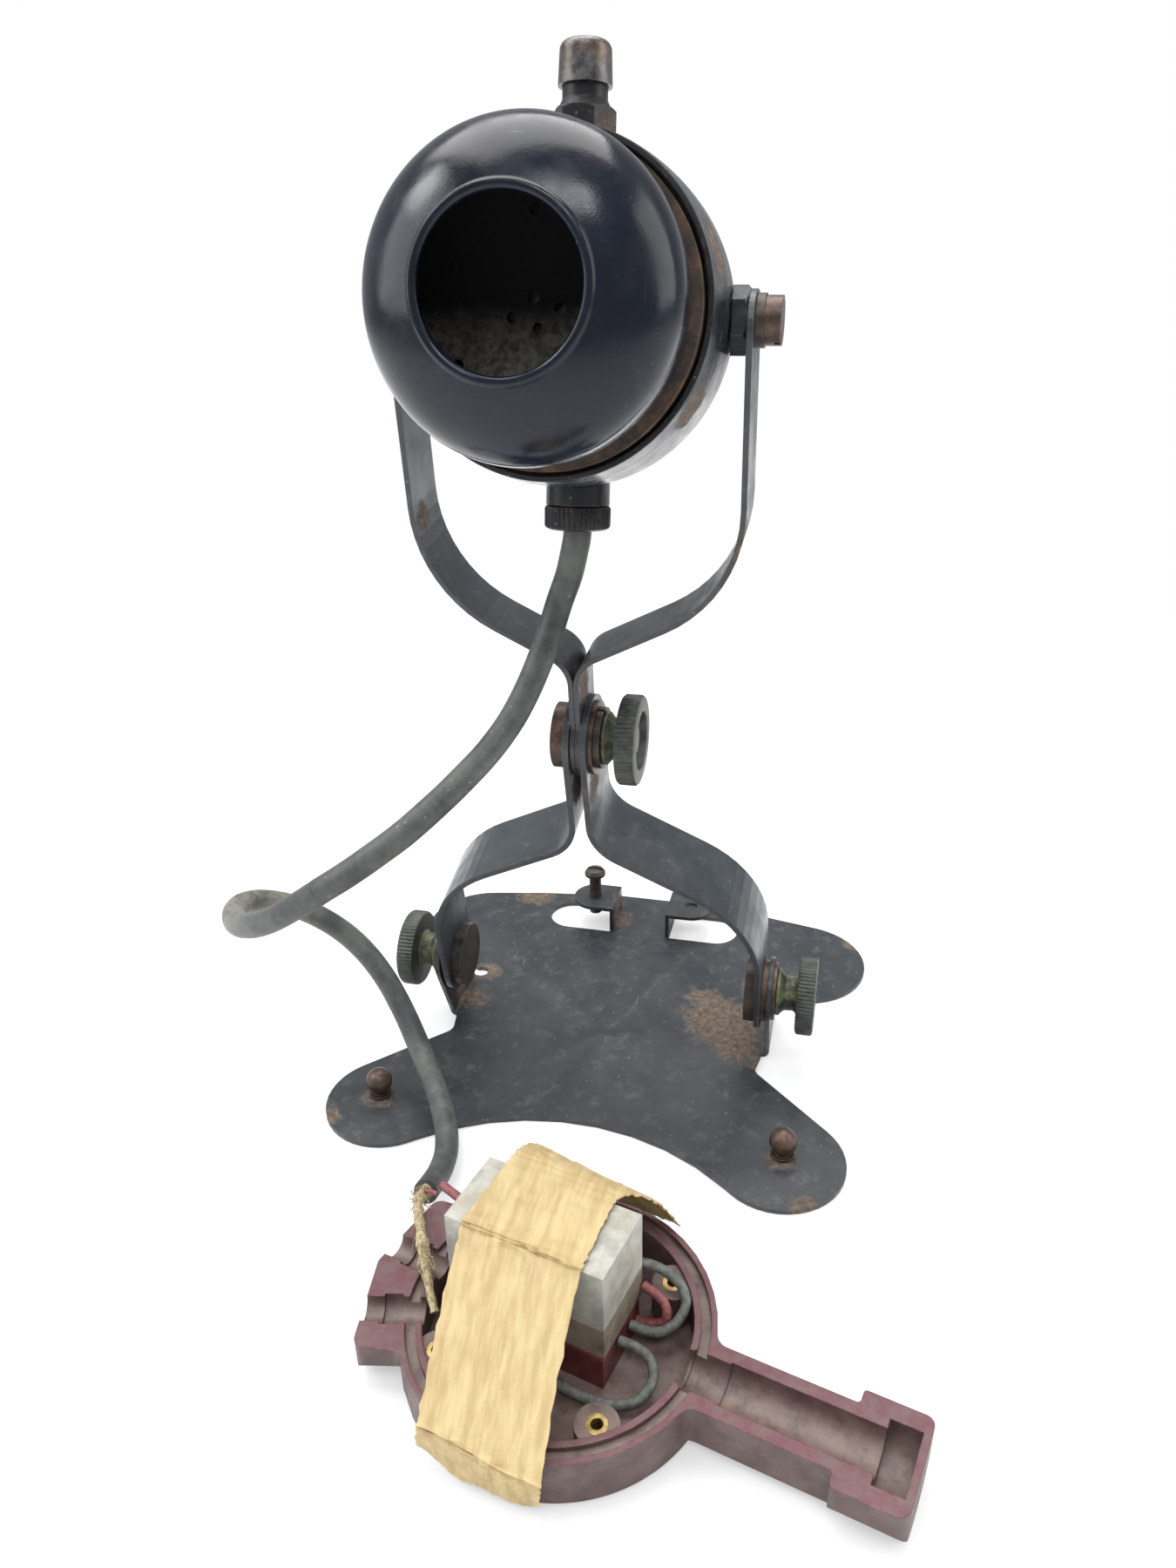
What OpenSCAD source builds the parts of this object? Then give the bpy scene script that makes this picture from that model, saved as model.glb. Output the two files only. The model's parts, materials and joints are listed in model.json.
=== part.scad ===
// Early breast-plate microphone: a ball-shaped transmitter head that tilts in a forked stand
// on a pressed plate, with its rubber lead running to one half of an opened control case.
// X lies along the stand's hinge, Y points to the back, Z up, millimetres. The origin is on
// the table, under the middle of the hinge.

/* [Breast plate] */
// Thickness of the plate, its ears and its tabs
plate_t = 1.2; // [1:0.1:1.6]
// Rear edge's highest point behind the origin
plate_rear_y = 75.2; // [74:0.2:77]
// Radius of the long curved rear edge
plate_rear_r = 200; // [190:5:210]
// Largest radius of the hollow in the front edge
plate_front_r = 66; // [50:1:70]
// Front edge's middle, in front of the origin
plate_front_y = 37.6; // [36:0.2:38.6]
// Lobes' middle, to the right of the ears' middle
lobe_shift = 1.2; // [0:0.2:2]
// Half the distance between the front lobes' centres
front_lobe_x = 53.4; // [53:0.2:56]
// Front lobes' centres, in front of the origin
front_lobe_y = 40.4; // [39:0.2:42]
// Radius of the front lobes
front_lobe_r = 17.1; // [16:0.1:18]
// Rear lobes' centres behind the origin
rear_lobe_y = 47.8; // [46:0.2:49]
// Half the distance between the rear lobes' centres
rear_lobe_x = 52.2; // [51:0.2:54]
// Radius of the rear lobes
rear_lobe_r = 20.5; // [20:0.1:21]
// Inner radius of the bends in the plate
bend_r = 1; // [0.5:0.1:1.5]
// Relief holes at the rear end of each ear's bend
relief_r = 2.2; // [1.8:0.1:2.6]
// Slots left where the tabs were bent up: width
slot_w = 15; // [14:0.5:16]
// Slots: straight inner end, from the middle
slot_in_x = 10; // [9.5:0.1:11]
// Slots: round outer end, from the middle
slot_out_x = 32; // [30:0.5:34]
// Slots: centre line behind the origin
slot_y = 59.7; // [58:0.1:61]
// Height of the tabs' top face
tab_top_z = 10; // [8:0.5:12]
// Reach of the tabs from the middle
tab_out_x = 23.5; // [22:0.5:25]
// Screw hole in the tabs, from the middle
tab_hole_x = 16.4; // [15.5:0.1:17]
// Radius of the tab screw's thread
tab_screw_r = 2; // [1.8:0.1:2.2]
// Radius of the tab screw's head
tab_head_r = 3.5; // [3.2:0.1:4]
// Height of the tab screw's head over the tab
tab_screw_h = 8.4; // [7:0.1:9]
// Ball studs, from the middle
stud_x = 55.3; // [54:0.1:57]
// Ball studs, in front of the origin
stud_y = 38.5; // [37:0.1:41]
// Radius of the ball studs' heads
stud_ball_r = 3.6; // [3:0.1:4]
// Radius of the ball studs' stems
stud_stem_r = 1.9; // [1.5:0.1:2.2]
// Height of the ball studs over the plate
stud_h = 8.2; // [7.5:0.1:9]

/* [Hinge and thumb nuts] */
// Hinge axis behind the origin
hinge_y = 1; // [0:0.5:3]
// Height of the hinge axis
hinge_z = 23; // [22:0.5:24]
// Inner face of the ears, from the middle
ear_in_x = 47; // [46.5:0.1:48]
// Radius of the ears' round tops
ear_r = 9.5; // [9:0.1:10]
// Rear end of the ears' bend behind the origin
ear_rear_y = 19.6; // [18.5:0.1:20]
// Radius of the three clamp bolts
bolt_r = 3; // [2.5:0.1:3.2]
// Running clearance of a bolt or screw in its hole
run_gap = 0.05; // [0.03:0.01:0.08]
// Face clearance between pieces that turn on each other
face_gap = 0.05; // [0.04:0.01:0.1]
// Radius of the hinge bolts' disc heads
hinge_head_r = 9; // [8:0.1:9.4]
// Thickness of the hinge bolts' heads
hinge_head_t = 3; // [2.5:0.1:3.5]
// Thickness of the outer hinge washers
hinge_washer_t = 1; // [0.8:0.1:1.2]
// Radius of the knurled discs
nut_r = 11; // [10:0.5:12]
// Thickness of the knurled discs
nut_disc_t = 5; // [4:0.5:6]
// Radius of the flange that presses on the washer
nut_flange_r = 6.5; // [6:0.1:7]
// Radius of the neck between flange and disc
nut_neck_r = 4.7; // [4.5:0.1:5]
// Radius of the cup in the outer face
nut_cup_r = 7; // [6:0.5:8]
// Depth of the cup in the outer face
nut_cup_t = 2.2; // [1.5:0.1:2.5]
// Length of the two hinge nuts
hinge_nut_len = 10.7; // [10:0.1:12]
// Length of the middle nut
mid_nut_len = 8.9; // [8.5:0.1:10]

/* [Lower fork] */
// Distance from the hinge to the middle pivot
lower_len = 85; // [80:1:90]
// Forward lean of the lower fork
lower_lean = 13; // [5:1:20]
// Width of the lower straps
lower_w = 21; // [20:0.5:22]
// Thickness of the lower straps
lower_t = 1.5; // [1.3:0.1:1.6]
// Length of the lower straps' straight tabs past the middle pivot's axis
lower_tab = 20.4; // [18:0.2:22]
// Bend radius beside the tabs
lower_bend_r = 12; // [10:0.5:13]
// Bend radius of the bows
lower_bow_r = 31.5; // [29:0.5:33]
// Turn of each lower bend
lower_turn = 62; // [60:1:64]

/* [Upper fork] */
// Distance from the middle pivot to the head's tilt axis
upper_len = 95.6; // [92:0.2:100]
// Forward lean of the upper fork
upper_lean = 5.4; // [0:0.2:10]
// Width of the upper straps
upper_w = 15; // [14:0.5:16]
// Thickness of the upper straps
upper_t = 1.2; // [1:0.1:1.5]
// Radius of the upper straps' eyes at the middle pivot
upper_eye_r = 9.5; // [8:0.1:10]
// Length of the upper straps' straight tabs past the middle pivot's axis
upper_tab = 17; // [15:0.5:18]
// Bend radius beside the tabs
upper_bend_r = 8; // [7:0.5:10]
// Bend radius of the bows
upper_bow_r = 31; // [28:0.5:33]
// Turn of each upper bend
upper_turn = 62.6; // [60:0.2:64]
// Tilt axis over the centre of the straps' round top ends
upper_rise = 1.8; // [0:0.1:3]
// Radius of the middle bolt's head
mid_head_r = 8; // [7.5:0.1:8.5]
// Thickness of the middle bolt's head
mid_head_t = 3.6; // [2.5:0.1:4]
// Radius of the plain washer under the middle nut
mid_washer_r = 9; // [8.5:0.1:9.5]
// Thickness of that washer
mid_washer_t = 1; // [0.8:0.1:1.4]
// Radius of the spring washer
mid_spring_r = 7.5; // [7:0.1:8]
// Thickness of the spring washer
mid_spring_t = 1.6; // [1.4:0.1:2.2]

/* [Head] */
// Head's middle, to the right of the plate's middle
head_x = 1.7; // [0:0.1:2]
// Upward tilt of the mouth
head_tilt = 11.6; // [2:0.1:20]
// Radius of the rear shell's ball
shell_r = 32.3; // [31.5:0.1:33]
// Thickness of the spun shells
shell_t = 1; // [0.8:0.1:1.2]
// Rear shell's rim, in front of the tilt axis
rim_q = 19.7; // [18:0.1:20]
// Outer radius of the rear shell's rim
rim_r = 31; // [30.8:0.1:31.2]
// Outer radius of the hood
hood_r = 28.4; // [28.2:0.1:28.6]
// Hood's widest place, in front of the tilt axis
hood_q = 35.5; // [34.5:0.1:36.5]
// Hood's depth in front of its widest place, to where it would close
hood_a = 15.9; // [15:0.1:17]
// Depth behind its widest place to where it would close
hood_back_a = 46; // [44:0.5:50]
// Rear edge of the hood, in front of the tilt axis
hood_back_q = 21.7; // [21.5:0.1:22.5]
// Radius of the mouth
mouth_r = 13.9; // [13.5:0.1:14.5]
// Radius of the bead rolled round the mouth
mouth_bead_r = 1; // [0.8:0.1:1.2]
// Outer radius of the seam ring between the shells
seam_r = 29.2; // [29:0.1:29.4]
// Bore of the seam ring, which holds the capsule
seam_bore_r = 25; // [24.5:0.1:25.2]
// Pivot bosses across their flats
boss_af = 11.2; // [10.6:0.2:12]
// Height of the pivot bosses over the ball
boss_h = 3.2; // [3:0.1:4]
// Radius of the pivot screws' shanks
pivot_r = 2; // [1.8:0.1:2.2]
// Radius of the pivot screws' heads
pivot_head_r = 4.6; // [4:0.1:5]
// Height of the pivot screws' heads
pivot_head_t = 3.2; // [3:0.1:4]
// Thickness of the pivot lock washers
pivot_washer_t = 1.7; // [1:0.1:2]

/* [Button and cable gland] */
// Button and gland axis, behind the tilt axis
stem_y = 8; // [7:0.5:9]
// Lean of the button and gland axis towards the mouth
stem_lean = 1.7; // [0:0.1:3]
// Hex foot of the button bush across its flats
bush_af = 11; // [10.6:0.2:12]
// Height of the hex foot's top over the ball
bush_foot_h = 6.8; // [6.4:0.1:7]
// Length of the cone from the hex foot to the neck
bush_cone_h = 1.5; // [1:0.1:1.8]
// Radius of the bush's neck
bush_neck_r = 4.5; // [4.2:0.1:4.6]
// Radius of the button's cap
cap_r = 5.35; // [5.25:0.05:5.6]
// Height of the cap's lower rim over the ball
cap_h = 10.6; // [10.4:0.1:11]
// Length of the cap
cap_len = 7.9; // [7.5:0.1:8.5]
// Travel of the button
button_travel = 2; // [1.5:0.1:2.2]
// Radius of the button's stem
stem_r = 1.5; // [1.3:0.1:1.6]
// Radius of the gland's body
gland_r = 6.8; // [6.5:0.1:7]
// Radius of the knurled gland nut
gland_nut_r = 7.1; // [6.9:0.1:7.4]
// Length of the gland's body under the ball
gland_h = 4; // [3:0.1:4.5]
// Length of the gland nut
gland_nut_h = 5.2; // [5:0.1:6]
// Radius of the rubber lead
lead_r = 3.05; // [2.9:0.05:3.1]

/* [Capsule] */
// Front face of the capsule, in front of the tilt axis
capsule_face_q = 22.5; // [22:0.1:23]
// Rear face of the capsule, in front of the tilt axis
capsule_back_q = 3; // [2:0.5:4]
// Wall of the capsule's cup
capsule_t = 0.8; // [0.6:0.1:1]
// Middle of the four holes, to the right of the mouth's axis
hole_mid_x = -1.1; // [-1.5:0.1:1.5]
// Middle of the four holes over the mouth's axis
hole_mid_z = -1.3; // [-1.5:0.1:1.5]
// Distance between neighbours of the four middle holes
hole_pitch = 5.3; // [5:0.1:5.6]
// Radius of the capsule's holes
hole_r = 1.05; // [0.9:0.05:1.2]
// Radius of the outer ring of holes
hole_ring_r = 17.4; // [16.5:0.1:18]
// Radius of the carbon chamber
carbon_r = 9; // [8:0.5:10]
// Thickness of the terminal block
block_t = 3; // [2.5:0.5:4]

/* [Control case half] */
// Case's middle, to the right of the origin
case_x = 13.4; // [12:0.1:15]
// Case's middle, in front of the origin
case_y = 105.7; // [105:0.1:108]
// Turn of the handle's direction, clockwise from X
case_turn = 14; // [12:1:16]
// Outer radius of the round case
case_r = 33.6; // [33.2:0.1:34]
// Inner radius of the round case
case_in_r = 28.7; // [28.4:0.1:29]
// Round edge under the case
case_round_r = 2; // [1:0.5:3]
// Height of the rim
rim_z = 12.5; // [12:0.1:13]
// Thickness of the floor
floor_t = 2.5; // [2:0.1:3]
// Mean radius of the groove in the rim
groove_r = 31.2; // [31:0.1:31.4]
// Width of the groove
groove_w = 2.2; // [1.8:0.1:2.4]
// Depth of the groove
groove_d = 1.3; // [1:0.1:1.5]
// Half the handle's width
handle_w = 7.8; // [7.4:0.1:8.2]
// Half the width of the handle's end
handle_end_w = 11.1; // [10.6:0.1:11.4]
// Start of the wide end, from the case's middle
handle_step = 61.8; // [60:0.1:63]
// Handle's end, from the case's middle
handle_end = 76.7; // [75:0.1:78]
// Radius of the long trough in the handle
trough_r = 5; // [4.5:0.1:5.4]
// Radius of the socket at the trough's end
socket_r = 7.2; // [6.8:0.1:7.6]
// Length of that socket
socket_len = 6.4; // [6:0.1:6.8]
// Radius of the lugs' rounded undersides
lug_round_r = 11; // [10.5:0.1:12]
// Reach of the lugs past the round case
lug_h = 9.1; // [8.6:0.1:9.6]
// Radius of the channels through the two lugs
channel_r = 3.4; // [3.2:0.1:3.6]
// Bolt circle of the brass inserts: radius
insert_pc_r = 26; // [25.8:0.1:26.2]
// Thread bore of the brass inserts
insert_bore_r = 1.25; // [1.2:0.05:1.4]
// Outer radius of the brass inserts
insert_r = 2.3; // [2:0.1:2.5]
// Radius of the bosses that hold them
insert_boss_r = 4.6; // [4.4:0.1:5]
// Top of the bosses
boss_top_z = 11.6; // [11:0.1:12]

/* [Can, tape and wires] */
// Can's length
can_l = 37; // [36:0.5:38]
// Can's width
can_w = 18.4; // [18:0.2:19]
// Can's lower face over the table
can_z = 11; // [10.5:0.5:11.5]
// Can's height
can_h = 23; // [22:0.5:24]
// Height of the can's lower part
can_base_h = 8; // [7:0.5:9]
// Wall of the can
can_t = 0.8; // [0.6:0.1:1]
// Can's middle along the handle's direction
can_mid_x = -5.3; // [-6:0.1:-4.6]
// Can's middle across the handle's direction
can_mid_y = 4.4; // [3.6:0.1:5]
// Width of the tape
tape_w = 27.5; // [26:0.5:28]
// Thickness of the tape
tape_t = 0.5; // [0.4:0.1:0.6]
// Radius of the insulated wires
wire_r = 1.1; // [1:0.05:1.2]
// Radius of the braided core
braid_r = 1.3; // [1.1:0.1:1.4]

/* [Hidden] */
fine = 64;
small = 32;
eps = 0.01;
flat_gap = 0.1;

// Places worked out from the sizes above
lobe_drop = front_lobe_y - plate_front_y;
hollow_r = min(plate_front_r, (pow(front_lobe_x, 2) + pow(lobe_drop, 2) - pow(front_lobe_r, 2))
    / (2 * (front_lobe_r + lobe_drop)) - 0.1);
mid_pos = [0, hinge_y - lower_len * sin(lower_lean), hinge_z + lower_len * cos(lower_lean)];
head_pos = [head_x, mid_pos[1] - upper_len * sin(upper_lean),
    mid_pos[2] + upper_len * cos(upper_lean)];
ear_out_x = ear_in_x + plate_t;
bend_out_r = bend_r + plate_t;
upper_tab_x = flat_gap / 2 + upper_t / 2;
lower_tab_x = upper_tab_x + upper_t / 2 + flat_gap + lower_t / 2;
stack_x = lower_tab_x + lower_t / 2;
spring_washer_x = stack_x + mid_washer_t;
mid_nut_x = spring_washer_x + mid_spring_t + face_gap;
hinge_ring_t = 1.6;
lower_span = ear_in_x - hinge_ring_t - face_gap - lower_t / 2;
hinge_head_x = lower_span - lower_t / 2 - face_gap;
hinge_nut_x = ear_out_x + hinge_washer_t + face_gap;
boss_face_x = shell_r + boss_h;
upper_span = boss_face_x + face_gap + upper_t / 2;
pivot_washer_x = upper_span + upper_t / 2 + face_gap;
switch_depth = 10.1;
stem_end_z = shell_r - switch_depth;
bush_foot_z = shell_r + bush_foot_h;
cap_z = shell_r + cap_h;
gland_nut_z = shell_r + gland_h;
gland_end_z = gland_nut_z + gland_nut_h;
bridge_t = 0.8;
tab_y_half = slot_w / 2 - 0.3;
tab_hole_y = slot_y;
hood_in_r = hood_r - shell_t;
hood_in_a = hood_a - shell_t;
hood_in_back_a = hood_back_a - shell_t;
spigot_r = hood_in_r * sqrt(1 - pow((hood_q - hood_back_q) / hood_in_back_a, 2)) - flat_gap;
seam_back_q = rim_q - 6.2;
seam_step_q = rim_q - 4.2;
lug_corner_r = 2.5;
lug_corner_turns = [162, 188, 215];
channel_turns = [181, 205];
lug_bar_turns = [168, 181, 205];
can_top_z = can_z + can_h;
can_front_y = can_mid_y - can_w / 2;
can_rear_y = can_mid_y + can_w / 2;
can_right_x = can_mid_x + can_l / 2;
can_left_x = can_mid_x - can_l / 2;

// Rubber lead, from the gland in front of the stand round to the left and down to the case
lead_upper_route = [[1.3, -27, 155], [-0.4, -26.6, 148.5], [-2.8, -26.8, 142], [-5, -30, 134],
    [-7.6, -35.8, 126], [-10.6, -41.2, 119.4]];
lead_middle_route = [[-10.6, -41.2, 119.4], [-14.4, -47.4, 114], [-19.2, -54, 109.2],
    [-24.4, -59.6, 104.6], [-29.8, -64, 100.2], [-35.6, -67, 96], [-41.6, -68.6, 91.6],
    [-48, -69, 87]];
lead_lower_route = [[-48, -69, 87], [-55.5, -68.2, 81.2], [-63.6, -65.6, 75], [-72, -60.6, 69],
    [-80, -54, 64.2], [-85.8, -46, 61.2], [-88, -38.5, 59], [-86.4, -31.5, 56],
    [-81.6, -26.2, 52], [-75, -23, 47], [-68.6, -21.8, 41.8], [-63, -22, 36.4],
    [-58, -23.2, 30.6], [-53.6, -25.4, 25], [-49.4, -28.6, 20], [-45, -33, 15.6],
    [-40.6, -38, 12], [-36.6, -43, 9], [-33, -48.4, 6.8], [-30.2, -54, 5.4], [-28.4, -60, 4.7],
    [-27.8, -66, 5], [-27.6, -71.5, 6.6], [-27.4, -76.5, 8.6]];
braid_route = [[-27.3, -76.7, 8.7], [-27, -80.2, 11], [-25.8, -84.6, 13.8],
    [-23.6, -89.8, 15.4], [-20.8, -95.6, 15.6], [-18.2, -100.8, 15], [-15.4, -106, 14],
    [-12.4, -111, 11.8]];
line_route = [[-41, 17.8, 13.9], [-38, 17, 13.9], [-34, 15.8, 14], [-29.6, 14, 14.8],
    [-26, 12, 15]];
red_route = [[13, 13.4], [16.6, 13], [18.8, 12.6], [20, 11.6], [19.2, 10.8], [16.6, 10.4]];

// Rope round pulleys [x, y, r] taken anticlockwise: a negative radius is a hollow curve
function normal_angle(p, q) = let (d = norm([q[0] - p[0], q[1] - p[1]]))
    atan2(q[1] - p[1], q[0] - p[0]) - acos((p[2] - q[2]) / d);
function wrap(a) = a - 360 * floor(a / 360);
function pulley(p, a, b) = p[2] == 0 ? [[p[0], p[1]]] :
    let (turn = p[2] > 0 ? wrap(b - a) : -wrap(a - b), n = max(2, ceil(abs(turn) / 9)))
    [for (i = [0 : n]) let (t = a + turn * i / n)
        [p[0] + p[2] * cos(t), p[1] + p[2] * sin(t)]];
function belt(c) = let (n = len(c)) [for (i = [0 : n - 1])
    each pulley(c[i], normal_angle(c[(i + n - 1) % n], c[i]), normal_angle(c[i], c[(i + 1) % n]))];
function mirrored(c) = [for (i = [len(c) - 1 : -1 : 0]) [-c[i][0], c[i][1], c[i][2]]];

// Tube swept along a route
function unit(v) = v / norm(v);
function tangent(p, i) = unit(p[min(i + 1, len(p) - 1)] - p[max(i - 1, 0)]);
function side_of(t) = unit(cross(t, abs(t[0]) < 0.8 ? [1, 0, 0] : [0, 1, 0]));
function moved(u, t) = unit(u - (u * t) * t);
function frames(p, i = 0, u = undef) = i >= len(p) ? [] :
    let (t = tangent(p, i), v = is_undef(u) ? side_of(t) : moved(u, t))
    concat([[v, cross(t, v)]], frames(p, i + 1, v));
module tube(p, r, sides) {
    f = frames(p);
    n = len(p);
    points = [for (i = [0 : n - 1], k = [0 : sides - 1]) let (a = 360 * k / sides)
        p[i] + r * (cos(a) * f[i][0] + sin(a) * f[i][1])];
    walls = [for (i = [0 : n - 2], k = [0 : sides - 1]) each
        let (a = i * sides + k, b = i * sides + (k + 1) % sides)
        [[a, a + sides, b + sides], [a, b + sides, b]]];
    first = [for (k = [0 : sides - 1]) k];
    last = [for (k = [sides - 1 : -1 : 0]) (n - 1) * sides + k];
    polyhedron(points = points, faces = concat([first], walls, [last]));
}

// Places of the moving groups
module in_lower_fork() { translate([0, hinge_y, hinge_z]) rotate([lower_lean, 0, 0]) children(); }
module in_upper_fork() { translate(mid_pos) rotate([upper_lean, 0, 0]) children(); }
module in_head() { translate(head_pos) rotate([-head_tilt, 0, 0]) children(); }
module on_stem() { rotate([stem_lean, 0, 0]) translate([0, stem_y, 0]) children(); }
module in_case() { translate([case_x, -case_y, 0]) rotate([0, 0, -case_turn]) children(); }
module both_sides() { for (s = [0, 1]) mirror([s, 0, 0]) children(); }

// Round solid along +X from a start
module rod_x(x, len, r, sides = fine) {
    translate([x, 0, 0]) rotate([0, 90, 0]) cylinder(h = len, r = r, $fn = sides);
}
module ring_x(x, len, r, bore) {
    difference() {
        rod_x(x, len, r);
        rod_x(x - 1, len + 2, bore);
    }
}
// Round solid along the mouth's direction from a start
module disc_q(q, len, r, sides = fine) {
    translate([0, -q, 0]) rotate([90, 0, 0]) cylinder(h = len, r = r, $fn = sides);
}
// Outline of radius and reach turned round the mouth's axis
module spun(points) { rotate([90, 0, 0]) rotate_extrude($fn = 96) polygon(points); }

// Sheet bend from the plate up to a wall that stands at x, from y to y + len
module bend_up(x, y, len) {
    n = 8;
    c = x - bend_r;
    points = concat(
        [for (i = [0 : n]) let (a = -90 + 90 * i / n)
            [c + bend_out_r * cos(a), bend_out_r + bend_out_r * sin(a)]],
        [for (i = [n : -1 : 0]) let (a = -90 + 90 * i / n)
            [c + bend_r * cos(a), bend_out_r + bend_r * sin(a)]]);
    translate([0, y + len, 0]) rotate([90, 0, 0]) linear_extrude(height = len) polygon(points);
}

// Right half of the outline, with its lobes moved outward by shift
function plate_side(shift) = [
    [front_lobe_x + shift, -front_lobe_y, front_lobe_r],
    [ear_out_x + 0.4, -6.6, -3.6],
    [ear_in_x - bend_r, -0.8, 0],
    [ear_in_x - bend_r, ear_rear_y + 3.6, 0],
    [rear_lobe_x + shift, rear_lobe_y, rear_lobe_r]];

module plate_outline() {
    hollow = [lobe_shift, -plate_front_y - hollow_r, -hollow_r];
    rear = [lobe_shift, plate_rear_y - plate_rear_r, plate_rear_r];
    polygon(belt(concat([hollow], plate_side(lobe_shift), [rear],
        mirrored(plate_side(-lobe_shift)))));
}

module ear() {
    outline = belt([[0, bend_out_r, 0], [ear_rear_y, bend_out_r, 0], [hinge_y, hinge_z, ear_r]]);
    translate([ear_in_x, 0, 0]) rotate([90, 0, 90]) linear_extrude(height = plate_t)
        polygon(outline);
    bend_up(ear_in_x, 0, ear_rear_y);
}

module slot() {
    r = slot_w / 2;
    translate([slot_in_x, slot_y - r, -1]) cube([slot_out_x - r - slot_in_x, slot_w, plate_t + 2]);
    translate([slot_out_x - r, slot_y, -1]) cylinder(h = plate_t + 2, r = r, $fn = fine);
}

module tab() {
    r = tab_y_half;
    x = slot_in_x - plate_t;
    translate([x, slot_y - r, 0]) cube([plate_t, 2 * r, tab_top_z]);
    translate([x, slot_y - r, tab_top_z - plate_t])
        cube([tab_out_x - r - x, 2 * r, plate_t]);
    translate([tab_out_x - r, slot_y, tab_top_z - plate_t])
        cylinder(h = plate_t, r = r, $fn = fine);
}

module breast_plate() {
    color([0.14, 0.16, 0.19]) difference() {
        union() {
            difference() {
                linear_extrude(height = plate_t) plate_outline();
                both_sides() slot();
                both_sides() translate([ear_in_x - bend_r - 0.6, ear_rear_y + relief_r, -1])
                    cylinder(h = plate_t + 2, r = relief_r, $fn = small);
            }
            both_sides() ear();
            both_sides() tab();
        }
        both_sides() translate([tab_hole_x, tab_hole_y, tab_top_z - plate_t - 1])
            cylinder(h = plate_t + 2, r = tab_screw_r, $fn = small);
        both_sides() translate([0, hinge_y, hinge_z])
            rod_x(ear_in_x - 1, plate_t + 2, bolt_r + run_gap);
        both_sides() translate([stud_x, -stud_y, -1])
            cylinder(h = plate_t + 2, r = stud_stem_r, $fn = small);
    }
}

module strap_studs() {
    top = plate_t + stud_h;
    color([0.36, 0.27, 0.22]) both_sides() translate([stud_x, -stud_y, 0]) {
        cylinder(h = top - stud_ball_r, r = stud_stem_r, $fn = small);
        translate([0, 0, plate_t]) cylinder(h = 0.8, r = stud_stem_r + 1.2, $fn = small);
        translate([0, 0, top - stud_ball_r]) sphere(r = stud_ball_r, $fn = small);
    }
}

module tab_screw() {
    z = tab_top_z + tab_screw_h;
    color([0.22, 0.2, 0.19]) translate([-tab_hole_x, tab_hole_y, 0]) difference() {
        union() {
            translate([0, 0, 4]) cylinder(h = z - 4, r = tab_screw_r, $fn = small);
            translate([0, 0, z]) rotate_extrude($fn = small) polygon([[0, 0], [tab_head_r, 0],
                [tab_head_r, 0.9], [tab_head_r * 0.8, 1.9], [tab_head_r * 0.45, 2.4], [0, 2.6]]);
        }
        translate([-5, -0.5, z + 1.5]) cube([10, 1, 3]);
    }
}

module hinge_bolt() {
    color([0.2, 0.19, 0.19]) {
        rod_x(hinge_head_x - hinge_head_t, hinge_head_t, hinge_head_r);
        rod_x(hinge_head_x - eps, hinge_nut_x + hinge_nut_len - nut_cup_t - hinge_head_x + 1,
            bolt_r);
    }
}
module at_hinge() { translate([0, hinge_y, hinge_z]) children(); }
module hinge_bolt_left() { at_hinge() mirror([1, 0, 0]) hinge_bolt(); }
module hinge_bolt_right() { at_hinge() hinge_bolt(); }

module hinge_washers() {
    color([0.42, 0.26, 0.18]) at_hinge() both_sides() {
        ring_x(ear_in_x - hinge_ring_t, hinge_ring_t, ear_r - 1, bolt_r + run_gap);
        ring_x(ear_out_x, hinge_washer_t, ear_r - 1.5, bolt_r + run_gap);
    }
}

// Thumb nut from its pressing face outward
module thumb_nut(x, len) {
    disc = len - nut_disc_t;
    cup = len - nut_cup_t;
    bore = bolt_r + run_gap;
    profile = [[bore, 0], [nut_flange_r, 0], [nut_flange_r, 1], [nut_neck_r + 0.7, 1.8],
        [nut_neck_r, 2.6], [nut_neck_r, disc - 0.8], [nut_neck_r + 0.8, disc],
        [nut_r - 0.7, disc], [nut_r, disc + 0.7], [nut_r, len - 0.7], [nut_r - 0.7, len],
        [nut_cup_r, len], [nut_cup_r - 0.5, cup], [bore, cup]];
    translate([x, 0, 0]) rotate([0, 90, 0]) rotate_extrude($fn = 96) polygon(profile);
}
module thumb_nut_left() {
    color([0.2, 0.22, 0.2]) at_hinge() mirror([1, 0, 0]) thumb_nut(hinge_nut_x, hinge_nut_len);
}
module thumb_nut_right() {
    color([0.2, 0.22, 0.2]) at_hinge() thumb_nut(hinge_nut_x, hinge_nut_len);
}
module thumb_nut_middle() {
    color([0.22, 0.25, 0.22]) in_upper_fork() thumb_nut(mid_nut_x, mid_nut_len);
}

// One face of a fork strap: straight tab, bend out, slope, bow and straight arm
function arm_face(off, tab_x, tab_z, bend, bow, turn, span, top) =
    let (run = (span - tab_x - (bend + bow) * (1 - cos(turn))) / sin(turn),
        bow_z = tab_z + (bend + bow) * sin(turn) + run * cos(turn), n = 10)
    concat(
        [for (i = [0 : n]) let (a = 180 - turn * i / n)
            [tab_x + bend + (bend - off) * cos(a), tab_z + (bend - off) * sin(a)]],
        [for (i = [0 : n]) let (a = -turn + turn * i / n)
            [span - bow + (bow + off) * cos(a), bow_z + (bow + off) * sin(a)]],
        [[span + off, top]]);
function reversed(p) = [for (i = [len(p) - 1 : -1 : 0]) p[i]];
function arm_side(t, end, tab_x, tab_z, bend, bow, turn, span, top) = concat(
    [[tab_x + t / 2, end]],
    arm_face(t / 2, tab_x, tab_z, bend, bow, turn, span, top),
    reversed(arm_face(-t / 2, tab_x, tab_z, bend, bow, turn, span, top)),
    [[tab_x - t / 2, end]]);

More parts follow.
